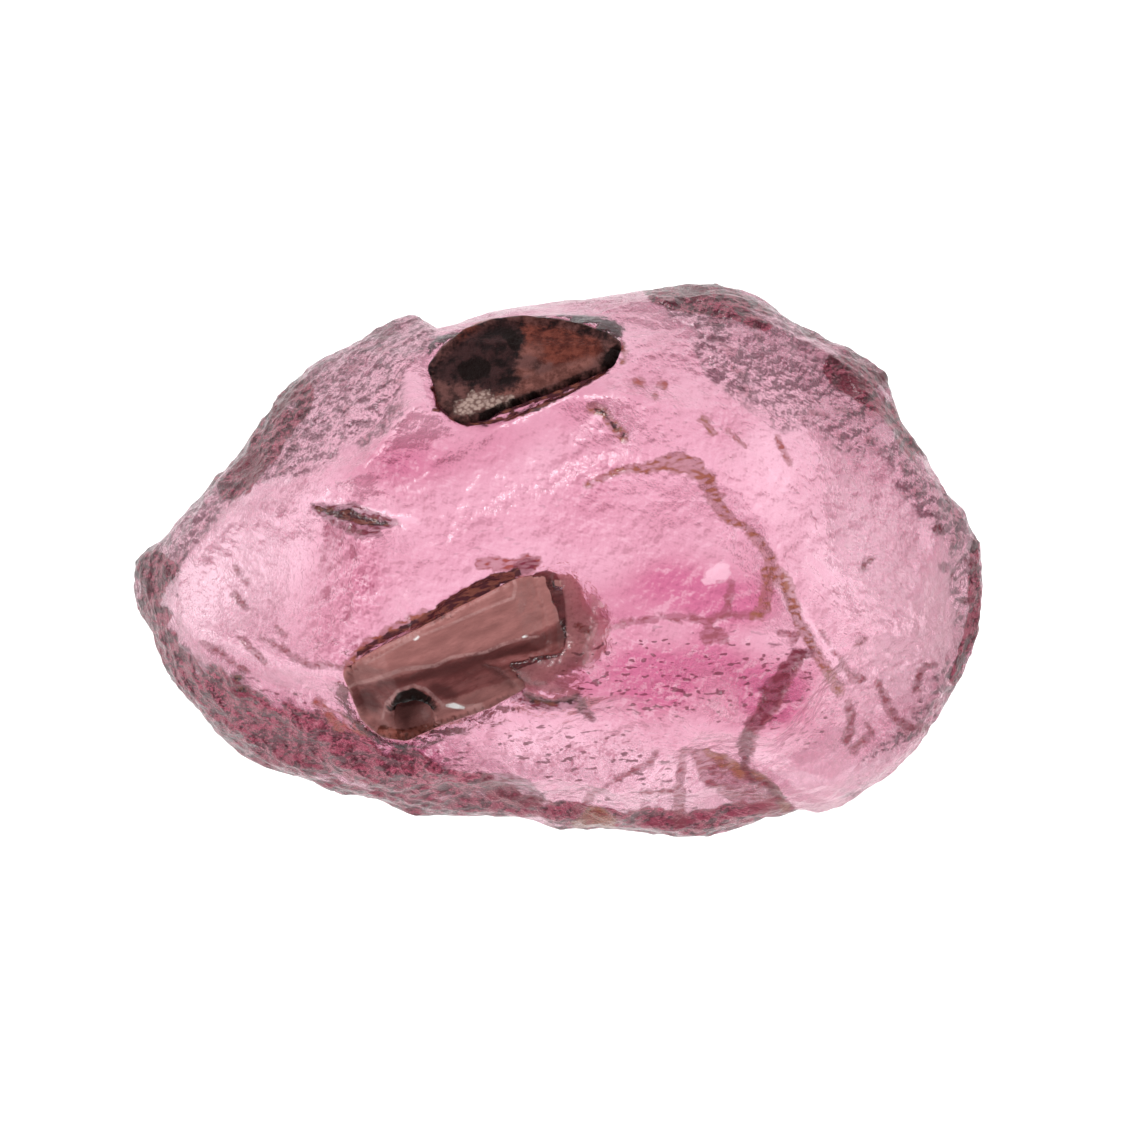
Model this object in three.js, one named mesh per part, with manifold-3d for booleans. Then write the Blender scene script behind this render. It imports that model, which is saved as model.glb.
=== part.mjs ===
// A rough rhodolite garnet, 10.4 mm long, lying on its parting face, with two brown crystals in it.
// Millimetres, +Z up. The origin is under the middle of the stone, on the surface that it lies on.
// +X runs along the stone from its pointed end to its blunt end, and the broken face looks up.

import * as THREE from "three";
import { mergeVertices } from "three/addons/utils/BufferGeometryUtils.js";
import Module from "manifold-3d";

const wasm = await Module();
wasm.setup();

// Driving dimensions of the stone
const CROWN_HEIGHT = 4.54; // the top before the flakes came off
const CROWN_TILT = [-0.045, 0.03]; // how much the top rises for each millimetre along X and Y
const RIM_HEIGHT = 1.9; // the widest level
const RIM_WAVES = [[0.28, 1, 0.6], [0.16, 3, 1.1], [0.07, 7, 0]]; // height, waves round the stone, phase
const KEEL_DEPTH = 0.25; // how far the belly would bulge below the parting face
const FULLNESS = 3.3; // a larger number gives a flatter top and belly with a steeper shoulder
const GIRDLE = 1.5; // 2 gives a rounded rim, and 1 a sharp one
const SMOOTHING = 0.4; // radians of the outline averaged into the plan shape away from the rim
const AVERAGED = 24; // directions that the average takes in
const NICK_FADE = 6; // how quickly the outline's small nicks fade above and below the rim
const RIM_STEP = 0.3; // the longest edge along the rim
const RIM_SHARE = 0.985; // as near to the rim as a scar's place may be, as a share of the way out
const NEAR = 0.05; // how far to each side the surface's slope is taken
const CROWN_STEPS = [10, 20, 30, 40, 50, 60, 70, 80]; // ring levels, in degrees from the rim to the pole
const BELLY_STEPS = [10, 20, 32, 45, 60, 76];

// Driving dimensions of the crystals in it
const SEAT_GAP = 0.04; // between a crystal and the wall of its pocket
const CLOSED_UP = 0.012; // edges that the cuts leave shorter than this are closed up
const BLOCK = [16, 16, 8]; // wider and taller than the stone, for the flat cuts
const POCKET_BLOCK = 4; // the height that a crystal's outline is raised through before its roofs cut it

// The widest outline seen from above, anticlockwise from the pointed end.
const OUTLINE = [
  [-5.2, -0.36], [-5.14, -0.59], [-4.98, -0.81], [-4.9, -1.0], [-4.81, -1.28], [-4.61, -1.58],
  [-4.34, -1.85], [-4.16, -2.09], [-3.88, -2.34], [-3.59, -2.48], [-3.25, -2.55], [-3.1, -2.6],
  [-2.78, -2.75], [-2.3, -2.89], [-2.15, -2.91], [-1.96, -3.01], [-1.74, -3.08], [-1.43, -3.08],
  [-1.06, -3.11], [-0.7, -3.08], [-0.27, -3.1], [0.03, -3.2], [0.52, -3.23], [1.0, -3.27],
  [1.27, -3.34], [1.55, -3.37], [1.79, -3.34], [2.07, -3.27], [2.34, -3.17], [2.55, -3.1],
  [2.69, -3.03], [2.81, -3.06], [2.88, -2.98], [2.98, -2.98], [3.09, -3.06], [3.25, -3.1],
  [3.49, -2.98], [3.7, -2.83], [3.88, -2.68], [4.0, -2.57], [4.17, -2.43], [4.36, -2.25],
  [4.5, -2.08], [4.67, -1.79], [4.84, -1.55], [4.97, -1.3], [5.07, -1.06], [5.18, -0.84],
  [5.2, -0.64], [5.19, -0.33], [5.19, -0.17], [5.16, 0.1], [5.15, 0.23], [5.02, 0.36],
  [4.92, 0.59], [4.74, 0.79], [4.59, 1.02], [4.49, 1.28], [4.33, 1.48], [4.17, 1.65],
  [4.11, 1.68], [4.12, 1.89], [4.09, 2.07], [4.03, 2.25], [3.9, 2.39], [3.72, 2.53],
  [3.54, 2.63], [3.29, 2.73], [3.06, 2.85], [2.7, 3.05], [2.52, 3.2], [2.21, 3.31],
  [1.91, 3.37], [1.61, 3.34], [1.06, 3.29], [0.52, 3.25], [0.03, 3.2], [-0.39, 3.12],
  [-0.82, 3.02], [-1.18, 2.88], [-1.45, 2.77], [-1.6, 2.83], [-1.66, 2.97], [-1.77, 3.05],
  [-1.87, 3.0], [-2.09, 2.91], [-2.37, 2.71], [-2.58, 2.58], [-2.82, 2.47], [-3.1, 2.29],
  [-3.25, 2.15], [-3.51, 1.85], [-3.71, 1.58], [-3.89, 1.29], [-4.16, 1.06], [-4.34, 0.81],
  [-4.57, 0.53], [-4.76, 0.31], [-5.05, 0.13], [-5.18, -0.09],
].map(([x, y]) => new THREE.Vector2(x, y));

// Each flake scar is a dish pressed into the unbroken surface over a plan place: its half length and
// half width, its depth in the middle, the way its length runs in plan, and how far that end is sunk.
const CROWN_SCARS = {
  pointedEnd: { at: [-3.6, -0.25], reach: [2.45, 1.7], depth: 0.52, turn: 12, sink: -2 },
  upperLeftSkin: { at: [-2.6, 1.75], reach: [2.6, 1.3], depth: 0.2, turn: 42 },
  smoothShell: { at: [-0.95, 1.2], reach: [2.7, 1.35], depth: 0.36, turn: 20 },
  lensLedge: { at: [-2.3, 0.66], reach: [1.15, 0.38], depth: 0.28, turn: -20, sink: 5 },
  plateFace: { at: [-0.45, 2.35], reach: [1.8, 1.05], depth: 0.26, turn: 6 },
  middleShell: { at: [-0.2, -0.1], reach: [2.4, 1.5], depth: 0.3, turn: 24 },
  topFace: { at: [1.5, 2.45], reach: [1.6, 1.1], depth: 0.24, turn: 0 },
  lowerLeftFacet: { at: [-2.7, -1.95], reach: [2.9, 1.25], depth: 0.24, turn: -22 },
  deepMiddle: { at: [1.4, -0.45], reach: [2.3, 1.6], depth: 0.46, turn: -34, sink: 4 },
  middleStep: { at: [2.05, -1.15], reach: [1.35, 0.85], depth: 0.36, turn: -38, sink: 3 },
  rightField: { at: [3.55, 0.35], reach: [2.8, 2.2], depth: 0.34, turn: 70 },
  upperRightSkin: { at: [2.75, 2.2], reach: [2.5, 1.35], depth: 0.28, turn: -33 },
  bottomChipLeft: { at: [-0.95, -2.0], reach: [2.2, 1.35], depth: 0.3, turn: 12 },
  bottomChipMiddle: { at: [0.75, -2.25], reach: [1.15, 1.0], depth: 0.32, turn: 20 },
  bottomChipRight: { at: [1.95, -2.5], reach: [0.95, 0.85], depth: 0.28, turn: -15 },
  lowerRightFlake: { at: [3.75, -1.9], reach: [1.9, 1.35], depth: 0.36, turn: 38 },
  frontWallLeft: { at: [-3.3, -2.2], reach: [1.2, 0.8], depth: 0.14, turn: -30 },
  frontWallMiddle: { at: [-1.0, -2.85], reach: [1.7, 0.8], depth: 0.14, turn: -6 },
  frontWallRight: { at: [1.6, -3.0], reach: [1.5, 0.8], depth: 0.14, turn: 4 },
  bluntEnd: { at: [4.7, -0.5], reach: [1.5, 0.8], depth: 0.16, turn: 88 },
  backWallLeft: { at: [-3.6, 1.3], reach: [1.5, 0.7], depth: 0.12, turn: 46 },
  lowerRightInnerFlake: { at: [3.05, -2.35], reach: [1.0, 0.7], depth: 0.26, turn: 30 },
};
const BELLY_SCARS = {
  leftBelly: { at: [-3.3, -0.3], reach: [2.6, 2.2], depth: 0.42, turn: 20 },
  frontBelly: { at: [-1.4, -2.2], reach: [2.9, 1.6], depth: 0.38, turn: -10 },
  frontRightBelly: { at: [2.2, -2.2], reach: [2.4, 1.6], depth: 0.34, turn: 14 },
  rightBelly: { at: [3.8, 0.2], reach: [2.3, 2.0], depth: 0.42, turn: 80 },
  backBelly: { at: [1.5, 2.3], reach: [2.8, 1.6], depth: 0.38, turn: -10 },
  backLeftBelly: { at: [-1.9, 2.0], reach: [2.4, 1.5], depth: 0.34, turn: 30 },
  pointedEndUnder: { at: [-4.4, -0.6], reach: [1.5, 0.8], depth: 0.16, turn: 80 },
  frontWallUnderLeft: { at: [-2.2, -2.55], reach: [1.8, 0.85], depth: 0.18, turn: -14 },
  frontWallUnderRight: { at: [1.2, -2.95], reach: [1.8, 0.85], depth: 0.18, turn: 0 },
  rightWallUnder: { at: [4.55, -1.0], reach: [1.7, 0.85], depth: 0.18, turn: 74 },
  backWallUnderRight: { at: [3.1, 2.3], reach: [1.7, 0.85], depth: 0.18, turn: -40 },
  backWallUnderMiddle: { at: [0.1, 2.9], reach: [1.8, 0.85], depth: 0.18, turn: 6 },
  backWallUnderLeft: { at: [-3.4, 1.5], reach: [1.7, 0.8], depth: 0.16, turn: 44 },
};
const DISH_ROUNDNESS = 2.6; // the half axis of every cutting ellipsoid along the dish's depth
const DISH_DETAIL = 14; // subdivisions of the icosahedron that it starts from
const SWELL = 0.022; // how far its surface swells and sinks, which makes the scars' edges wander
const SWELL_WAVES = [[3.1, 0, 1], [0, 4.3, -2], [2.2, -3.7, 3]]; // waves along X and Y, and their phase

// Broken flat faces: the way each one looks, in degrees round from +X and up from level, and how much
// of the stone it took off.
const FLATS = {
  frontLeftWall: { azimuth: 236, elevation: 42, cut: 0.16 },
  frontWall: { azimuth: 281, elevation: -30, cut: 0.2 },
  backWall: { azimuth: 84, elevation: 40, cut: 0.18 },
  backRightWall: { azimuth: 46, elevation: -38, cut: 0.26 },
  backLeftWall: { azimuth: 136, elevation: 36, cut: 0.2 },
  bluntEnd: { azimuth: -14, elevation: 36, cut: 0.2 },
  bluntCorner: { azimuth: 47, elevation: 52, cut: 0.2 },
};

const degrees = THREE.MathUtils.degToRad;

// A closed geometry as a solid that can be joined and cut.
function solidOf(geometry) {
  const bare = geometry.clone();
  bare.deleteAttribute("normal");
  bare.deleteAttribute("uv");
  const merged = mergeVertices(bare, 1e-5);
  return new wasm.Manifold(
    new wasm.Mesh({
      numProp: 3,
      vertProperties: merged.getAttribute("position").array,
      triVerts: new Uint32Array(merged.index.array),
    }),
  );
}

// The solid's triangles as a geometry with flat faces.
function geometryOf(solid) {
  const mesh = solid.getMesh();
  const geometry = new THREE.BufferGeometry();
  geometry.setAttribute("position", new THREE.BufferAttribute(mesh.vertProperties, 3));
  geometry.setIndex(new THREE.BufferAttribute(mesh.triVerts, 1));
  const flat = geometry.toNonIndexed();
  flat.computeVertexNormals();
  return flat;
}

// The outline with its long edges divided.
function rimPoints() {
  const points = [];
  OUTLINE.forEach((from, i) => {
    const to = OUTLINE[(i + 1) % OUTLINE.length];
    const parts = Math.ceil(from.distanceTo(to) / RIM_STEP);
    for (let k = 0; k < parts; k += 1) points.push(from.clone().lerp(to, k / parts));
  });
  return points;
}

// The rim wanders up and down as it goes round.
function rimHeight(angle) {
  const waves = RIM_WAVES.map(([height, times, phase]) => height * Math.sin(times * angle + phase));
  return waves.reduce((sum, wave) => sum + wave, RIM_HEIGHT);
}

// The outline's radius in a plan direction.
function nickedRadius(angle) {
  const ray = new THREE.Vector2(Math.cos(angle), Math.sin(angle));
  let radius = 0;
  OUTLINE.forEach((from, i) => {
    const to = OUTLINE[(i + 1) % OUTLINE.length];
    const before = ray.cross(from);
    const after = ray.cross(to);
    if (before > 0 || after <= 0) return;
    const crossing = from.clone().lerp(to, before / (before - after));
    radius = Math.max(radius, crossing.dot(ray));
  });
  return radius;
}

// The same averaged over its neighbourhood, which leaves the plan shape without its nicks.
function plainRadius(angle) {
  let sum = 0;
  for (let k = 0; k < AVERAGED; k += 1) {
    sum += nickedRadius(angle + SMOOTHING * ((k + 0.5) / AVERAGED - 0.5));
  }
  return sum / AVERAGED;
}

// The share of the way out from the middle at a share of the way up from the rim, and the reverse.
const shareAt = (rise) => (1 - rise ** GIRDLE) ** (1 / FULLNESS);
const riseAt = (share) => (1 - share ** FULLNESS) ** (1 / GIRDLE);

const crownTop = ([x, y]) => CROWN_HEIGHT + CROWN_TILT[0] * x + CROWN_TILT[1] * y;
const bellyBottom = () => -KEEL_DEPTH;

// The height of the unbroken crown or belly over a plan place.
function heightOver([x, y], pole) {
  const angle = Math.atan2(y, x);
  const share = Math.min(Math.hypot(x, y) / plainRadius(angle), RIM_SHARE);
  return THREE.MathUtils.lerp(rimHeight(angle), pole([x, y]), riseAt(share));
}

// A ring of the skin, a share of the way from the rim to the pole.
function ringAt(rim, rise, pole) {
  return rim.map((point) => {
    const angle = point.angle();
    const nicks = (1 - rise) ** NICK_FADE;
    const radius = shareAt(rise) * THREE.MathUtils.lerp(plainRadius(angle), point.length(), nicks);
    const place = [radius * Math.cos(angle), radius * Math.sin(angle)];
    return new THREE.Vector3(...place, THREE.MathUtils.lerp(rimHeight(angle), pole(place), rise));
  });
}

// A closed skin over rings of equal length, between a bottom and a top pole.
function skin(rings, bottom, top) {
  const count = rings[0].length;
  const points = [bottom, ...rings.flat(), top];
  const index = [];
  for (let i = 0; i < count; i += 1) {
    const next = (i + 1) % count;
    index.push(0, 1 + next, 1 + i);
    for (let ring = 0; ring < rings.length - 1; ring += 1) {
      const low = 1 + ring * count;
      const high = low + count;
      index.push(low + i, low + next, high + next, low + i, high + next, high + i);
    }
    const last = 1 + (rings.length - 1) * count;
    index.push(last + i, last + next, points.length - 1);
  }
  const geometry = new THREE.BufferGeometry().setFromPoints(points);
  geometry.setIndex(index);
  return geometry;
}

// The unbroken stone: a crown and a belly that meet at the outline.
function wholeStone() {
  const rim = rimPoints();
  const rings = (steps, pole) => steps.map((step) => ringAt(rim, Math.sin(degrees(step)), pole));
  const belly = rings(BELLY_STEPS, bellyBottom).reverse();
  const crown = rings(CROWN_STEPS, crownTop);
  const bottom = new THREE.Vector3(0, 0, bellyBottom());
  const top = new THREE.Vector3(0, 0, crownTop([0, 0]));
  return skin([...belly, ringAt(rim, 0, crownTop), ...crown], bottom, top);
}

// Moves every point of a cutting ellipsoid in or out by waves that differ from dish to dish.
function swell(tool, start) {
  const points = tool.getAttribute("position");
  const point = new THREE.Vector3();
  for (let i = 0; i < points.count; i += 1) {
    point.fromBufferAttribute(points, i);
    const waves = SWELL_WAVES.map(([x, y, phase]) => Math.sin(x * point.x + y * point.y + phase * start));
    point.setLength(point.length() + SWELL * waves.reduce((sum, wave) => sum + wave));
    points.setXYZ(i, point.x, point.y, point.z);
  }
}

// The outward direction of the unbroken surface over a plan place. side is 1 on the crown and -1 on
// the belly.
function outwardAt([x, y], pole, side) {
  const along = (heightOver([x + NEAR, y], pole) - heightOver([x - NEAR, y], pole)) / (2 * NEAR);
  const across = (heightOver([x, y + NEAR], pole) - heightOver([x, y - NEAR], pole)) / (2 * NEAR);
  return new THREE.Vector3(-along, -across, 1).normalize().multiplyScalar(side);
}

// The ellipsoid that cuts one scar.
function scarTool({ at, reach, depth, turn, sink = 0 }, side) {
  const pole = side > 0 ? crownTop : bellyBottom;
  const out = outwardAt(at, pole, side);
  const heading = degrees(turn);
  const along = new THREE.Vector3(Math.cos(heading), Math.sin(heading), 0).projectOnPlane(out).normalize();
  const across = new THREE.Vector3().crossVectors(out, along);

  const spread = 1 / Math.sqrt(1 - (1 - depth / DISH_ROUNDNESS) ** 2);
  const tool = new THREE.IcosahedronGeometry(1, DISH_DETAIL);
  tool.scale(reach[0] * spread, reach[1] * spread, DISH_ROUNDNESS);
  swell(tool, at[0] - at[1]);
  tool.translate(0, 0, DISH_ROUNDNESS - depth);
  tool.rotateY(degrees(sink));
  tool.applyMatrix4(new THREE.Matrix4().makeBasis(along, across, out));
  tool.translate(...at, heightOver(at, pole));
  return solidOf(tool);
}

// A block larger than the stone, with its top at a height.
function slab(top) {
  const block = new THREE.BoxGeometry(...BLOCK);
  block.translate(0, 0, top - BLOCK[2] / 2);
  return block;
}

// The block that takes a flat face off a solid.
function flatTool({ azimuth, elevation, cut }, solid) {
  const out = new THREE.Vector3().setFromSphericalCoords(1, degrees(90 - elevation), degrees(azimuth));
  out.set(out.z, out.x, out.y); // from Y up to Z up
  const points = geometryOf(solid).getAttribute("position");
  const point = new THREE.Vector3();
  let furthest = 0;
  for (let i = 0; i < points.count; i += 1) {
    furthest = Math.max(furthest, point.fromBufferAttribute(points, i).dot(out));
  }
  const block = slab(cut - furthest);
  block.applyQuaternion(new THREE.Quaternion().setFromUnitVectors(new THREE.Vector3(0, 0, -1), out));
  return solidOf(block);
}

// A crystal that fills a plan outline down to its floor, under one sloping roof or more. A roof passes
// through a point and drops by slope degrees towards the plan direction given by falls.
const PLATE = {
  outline: [
    [-1.49, 2.34], [-1.41, 2.1], [-1.37, 1.92], [-1.17, 1.73], [-0.87, 1.76], [-0.7, 1.88], [-0.3, 2.02],
    [0.1, 2.18], [0.48, 2.33], [0.62, 2.4], [0.71, 2.6], [0.58, 2.7], [0.3, 2.81], [0.02, 2.86],
    [-0.4, 2.91], [-0.78, 2.87], [-1.07, 2.76], [-1.33, 2.56],
  ],
  floor: 2.8,
  roofs: [
    { through: [-0.4, 2.3, 3.85], slope: 36, falls: 95 },
    { through: [-0.4, 2.65, 3.56], slope: 52, falls: 92 },
  ],
};
const PRISM = {
  outline: [
    [-2.51, -1.31], [-2.31, -1.83], [-2.09, -2.03], [-1.82, -2.07], [-1.4, -1.88], [-0.83, -1.68],
    [-0.41, -1.44], [0.26, -1.19], [0.39, -0.72], [0.16, -0.22], [-0.16, -0.16], [-0.49, -0.26],
    [-0.78, -0.41], [-1.35, -0.69], [-1.64, -0.85], [-2.09, -1.06],
  ],
  floor: 3.1,
  roofs: [
    { through: [-1.5, -0.95, 4.42], slope: 4, falls: 20 },
    { through: [-0.5, -0.55, 4.34], slope: 20, falls: 20 },
    { through: [-1.09, -1.1, 4.4], slope: 28, falls: 288 },
    { through: [-2.2, -1.4, 4.35], slope: 24, falls: 205 },
    { through: [-2.05, -1.72, 4.05], slope: 46, falls: 236 },
  ],
};

// The open cracks along one edge of each.
const PLATE_CRACK = {
  outline: [
    [-1.5, 2.14], [-1.41, 1.76], [-1.19, 1.64], [-1.05, 1.61], [-0.76, 1.65], [-0.2, 1.9], [0.3, 2.1],
    [0.56, 2.3], [0.71, 2.46], [0.5, 2.5], [-0.3, 2.2], [-1.2, 2.0],
  ],
  floor: 3.45,
  roofs: [],
};
const PRISM_CRACK = {
  outline: [
    [-2.44, -1.14], [-2.35, -1.3], [-1.35, -0.8], [-0.45, -0.35], [-0.46, -0.2], [-0.55, -0.15],
    [-0.78, -0.19], [-1.15, -0.38], [-1.35, -0.47], [-1.5, -0.64], [-1.69, -0.77], [-2.02, -0.92],
  ],
  floor: 3.75,
  roofs: [],
};

// The round hollow in the prism's lower face.
const HOLLOW = { middle: [-1.73, -1.82, 4.02], radius: 0.32, detail: 5 };

// What lies under one roof, lifted by a gap.
function underRoof({ through, slope, falls }, lift) {
  const under = slab(lift);
  const way = degrees(falls);
  const hinge = new THREE.Vector3(-Math.sin(way), Math.cos(way), 0);
  under.applyMatrix4(new THREE.Matrix4().makeRotationAxis(hinge, degrees(slope)));
  under.translate(...through);
  return solidOf(under);
}

// A crystal or a crack as a solid, grown on every side by a gap.
function filled({ outline, floor, roofs }, gap) {
  const corners = outline.map(([x, y]) => new THREE.Vector2(x, y));
  const grown = corners.map((corner, i) => {
    const before = corners[(i + corners.length - 1) % corners.length];
    const after = corners[(i + 1) % corners.length];
    const way = after.clone().sub(before).normalize();
    return new THREE.Vector2(corner.x + gap * way.y, corner.y - gap * way.x);
  });
  const block = new THREE.ExtrudeGeometry(new THREE.Shape(grown), {
    depth: POCKET_BLOCK, bevelEnabled: false,
  });
  block.translate(0, 0, floor - gap);
  return roofs.reduce((solid, roof) => solid.intersect(underRoof(roof, gap)), solidOf(block));
}

function longPrism() {
  const hollow = new THREE.IcosahedronGeometry(HOLLOW.radius, HOLLOW.detail);
  hollow.translate(...HOLLOW.middle);
  return filled(PRISM, 0).subtract(solidOf(hollow));
}

function garnet() {
  let stone = solidOf(wholeStone());
  for (const flat of Object.values(FLATS)) stone = stone.subtract(flatTool(flat, stone));
  for (const scar of Object.values(CROWN_SCARS)) stone = stone.subtract(scarTool(scar, 1));
  for (const scar of Object.values(BELLY_SCARS)) stone = stone.subtract(scarTool(scar, -1));
  stone = stone.subtract(solidOf(slab(0))); // the parting face that it lies on
  for (const crystal of [PRISM, PLATE]) stone = stone.subtract(filled(crystal, SEAT_GAP));
  for (const crack of [PRISM_CRACK, PLATE_CRACK]) stone = stone.subtract(filled(crack, 0));
  return stone.simplify(CLOSED_UP);
}

function named(name, solid, material) {
  const mesh = new THREE.Mesh(geometryOf(solid), material);
  mesh.name = name;
  return mesh;
}

const garnetPink = new THREE.MeshStandardMaterial({
  color: 0xe08fb4, roughness: 0.35, metalness: 0, transparent: true, opacity: 0.7,
});
const smokyMauve = new THREE.MeshStandardMaterial({ color: 0x8b6464, roughness: 0.3, metalness: 0 });
const rustBrown = new THREE.MeshStandardMaterial({ color: 0x3e1d18, roughness: 0.6, metalness: 0 });

const stone = new THREE.Group();
stone.add(named("garnet", garnet(), garnetPink));
stone.add(named("long_prism_crystal", longPrism(), smokyMauve));
stone.add(named("plate_crystal", filled(PLATE, 0), rustBrown));

export default stone;
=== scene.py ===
"""The looks of a rough rhodolite garnet with two brown crystals in it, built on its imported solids.

Everything is in metres, +Z up, with the stone lying on the floor and its broken face up. The stone's
shape is worked on in millimetres and brought back to metres at the end.
"""

import math

import bpy
import numpy as np
from mathutils import Euler, Matrix, Vector, noise
from mathutils.bvhtree import BVHTree


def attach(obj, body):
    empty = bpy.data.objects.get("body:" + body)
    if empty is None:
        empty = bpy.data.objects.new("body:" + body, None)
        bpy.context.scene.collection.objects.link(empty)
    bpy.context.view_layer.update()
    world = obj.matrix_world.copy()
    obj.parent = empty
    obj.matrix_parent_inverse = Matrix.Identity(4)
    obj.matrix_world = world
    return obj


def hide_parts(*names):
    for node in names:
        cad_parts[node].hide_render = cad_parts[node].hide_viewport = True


bl_info = {
    "name": "Rough Rhodolite Garnet",
    "version": (1, 0, 0),
    "blender": (4, 5, 0),
    "location": "3D View > Sidebar > Garnet",
    "description": "Dresses a rough garnet and the crystals in it, and lights it from below",
    "category": "Object",
}

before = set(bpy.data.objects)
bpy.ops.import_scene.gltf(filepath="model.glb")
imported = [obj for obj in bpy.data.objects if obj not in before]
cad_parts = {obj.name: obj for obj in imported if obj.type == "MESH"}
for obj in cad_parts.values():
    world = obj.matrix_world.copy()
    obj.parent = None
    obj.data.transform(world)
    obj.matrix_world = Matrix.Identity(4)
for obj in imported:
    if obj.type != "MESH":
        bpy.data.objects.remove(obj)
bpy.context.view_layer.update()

BODY = "root"
MM = 0.001
BLACK = (0, 0, 0, 1)
WHITE = (1, 1, 1, 1)


# Settings


def colour(name, told, shade):
    """A colour setting, opaque, with its name, its description and its red, green and blue."""
    return bpy.props.FloatVectorProperty(
        name=name, description=told, subtype="COLOR", size=4, default=(*shade, 1.0), min=0.0, max=1.0,
    )


class GarnetStone(bpy.types.PropertyGroup):
    """The sizes and colours of the garnet itself."""

    grain: bpy.props.FloatProperty(
        name="Grain", description="Edge of the faces that the stone is remeshed into, in mm",
        default=0.08, min=0.03, max=0.2,
    )
    smoothing: bpy.props.IntProperty(
        name="Smoothing", description="Passes that round the flake scars off", default=3, min=0,
    )
    # Also the colour of the painted highlights.
    pale_tint: colour("Pale tint", "Tint of the palest clear surfaces", (1.0, 1.0, 1.0))
    deep_tint: colour("Deep tint", "Tint of the surfaces that look deepest pink", (0.42, 0.085, 0.19))
    skin_tint: colour("Skin tint", "Tint of the frosted skin round the rim", (0.68, 0.53, 0.57))
    gloss: colour("Gloss", "How much the broken faces mirror, as a colour", (0.4, 0.4, 0.4))
    plum_tint: colour(
        "Plum tint", "Tint of the dark purple skin of the lower edges", (0.19, 0.026, 0.044),
    )
    # Painted shade: the plum skin and the frosted skin as they are coloured on facets that lean away from
    # the light.
    plum_painted_shade: colour(
        "Plum shade", "Colour of the plum skin on facets that face away", (0.012, 0.0006, 0.0018),
    )
    skin_painted_shade: colour(
        "Skin shade", "Colour of the frosted skin on facets that face away", (0.09, 0.047, 0.058),
    )
    # Painted shade: the tint that darkens the small hollows and the facets that lean away from the light.
    painted_shade_tint: colour(
        "Hollow tint", "Tint of the small hollows of the grainy surfaces", (0.3, 0.1, 0.15),
    )
    rust: colour("Rust", "Stain in the open cracks", (0.12, 0.038, 0.012))
    orange: colour("Orange rust", "Small bright stains", (0.14, 0.022, 0.012))
    maroon: colour("Maroon", "Cracks and pits that look dark", (0.04, 0.003, 0.006))
    crack: colour("Crack", "Thin cracks, which look deep pink", (0.12, 0.025, 0.03))
    # Painted shade, with a little rust mixed in: the black of the slots beside the crystals, the plate's
    # outline and the cores of grooves, pits and cracks.
    black: colour("Black", "Stain in the slots beside the crystals", (0.005, 0.0014, 0.0014))
    wall_tint: colour("Wall tint", "Stain on the walls round the crystals", (0.5, 0.27, 0.25))
    body_colour: colour(
        "Body colour", "What white light keeps on its way through", (0.886, 0.103, 0.429),
    )
    body_density: bpy.props.FloatProperty(
        name="Body density", description="Strength of the body colour for each metre of stone",
        default=160.0, min=0.0,
    )
    refraction: bpy.props.FloatProperty(
        name="Refraction", description="Index of refraction of rhodolite", default=1.76, min=1.0,
    )


class GarnetStage(bpy.types.PropertyGroup):
    """The floor, the lights and the camera."""

    view_width: bpy.props.FloatProperty(
        name="View width", description="Width of what the camera sees at the stone's rim",
        default=0.01368, unit="LENGTH",
    )
    lens: bpy.props.FloatProperty(
        name="Lens", description="Focal length in mm", default=400.0, min=20.0,
    )
    floor_glow: bpy.props.FloatProperty(
        name="Floor glow", description="Brightness of the pale table under the stone", default=1.5,
    )
    room_light: bpy.props.FloatProperty(
        name="Room light", description="Brightness of the room round the stone", default=0.2,
    )


# Making and finishing pieces


def only(obj):
    """Leaves obj as the one selected and active object."""
    bpy.ops.object.select_all(action="DESELECT")
    obj.select_set(True)
    bpy.context.view_layer.objects.active = obj


def copy_of(node, name):
    """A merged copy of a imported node, as a new object."""
    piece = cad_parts[node].copy()
    piece.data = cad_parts[node].data.copy()
    piece.name = name
    piece.parent = None
    for key in list(piece.keys()):
        del piece[key]
    piece.data.materials.clear()
    bpy.context.collection.objects.link(piece)
    only(piece)
    bpy.ops.object.mode_set(mode="EDIT")
    bpy.ops.mesh.select_all(action="SELECT")
    bpy.ops.mesh.remove_doubles(threshold=1e-7)
    bpy.ops.object.mode_set(mode="OBJECT")
    return piece


def tree_of(node):
    """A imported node's faces, for finding the nearest one or the first one along a ray."""
    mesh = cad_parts[node].data
    return BVHTree.FromPolygons([v.co for v in mesh.vertices], [p.vertices for p in mesh.polygons])


def resize(piece, factor):
    """Scales a piece's own mesh about the origin."""
    piece.data.transform(Matrix.Scale(factor, 4))
    piece.data.update()


def modified(piece, kind, **settings):
    """Adds a modifier to a piece and applies it."""
    only(piece)
    modifier = piece.modifiers.new(kind.title(), kind)
    for name, value in settings.items():
        setattr(modifier, name, value)
    bpy.ops.object.modifier_apply(modifier=modifier.name)


def placed(piece, node, material):
    """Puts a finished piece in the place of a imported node."""
    piece.data.materials.clear()
    piece.data.materials.append(material)
    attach(piece, BODY)
    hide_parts(node)


def vertex_values(piece, name, values):
    """Stores one number a vertex, for the materials to read."""
    attribute = piece.data.attributes.new(name, "FLOAT", "POINT")
    attribute.data.foreach_set("value", np.asarray(values, dtype=np.float32))


def face_heights(piece, what):
    """The height of each face's normal or centre."""
    values = np.empty(len(piece.data.polygons) * 3)
    piece.data.polygons.foreach_get(what, values)
    return values[2::3]


def move_vertices(piece, points):
    """Puts a piece's vertices at some points."""
    piece.data.vertices.foreach_set("co", points.ravel())
    piece.data.update()


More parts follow.
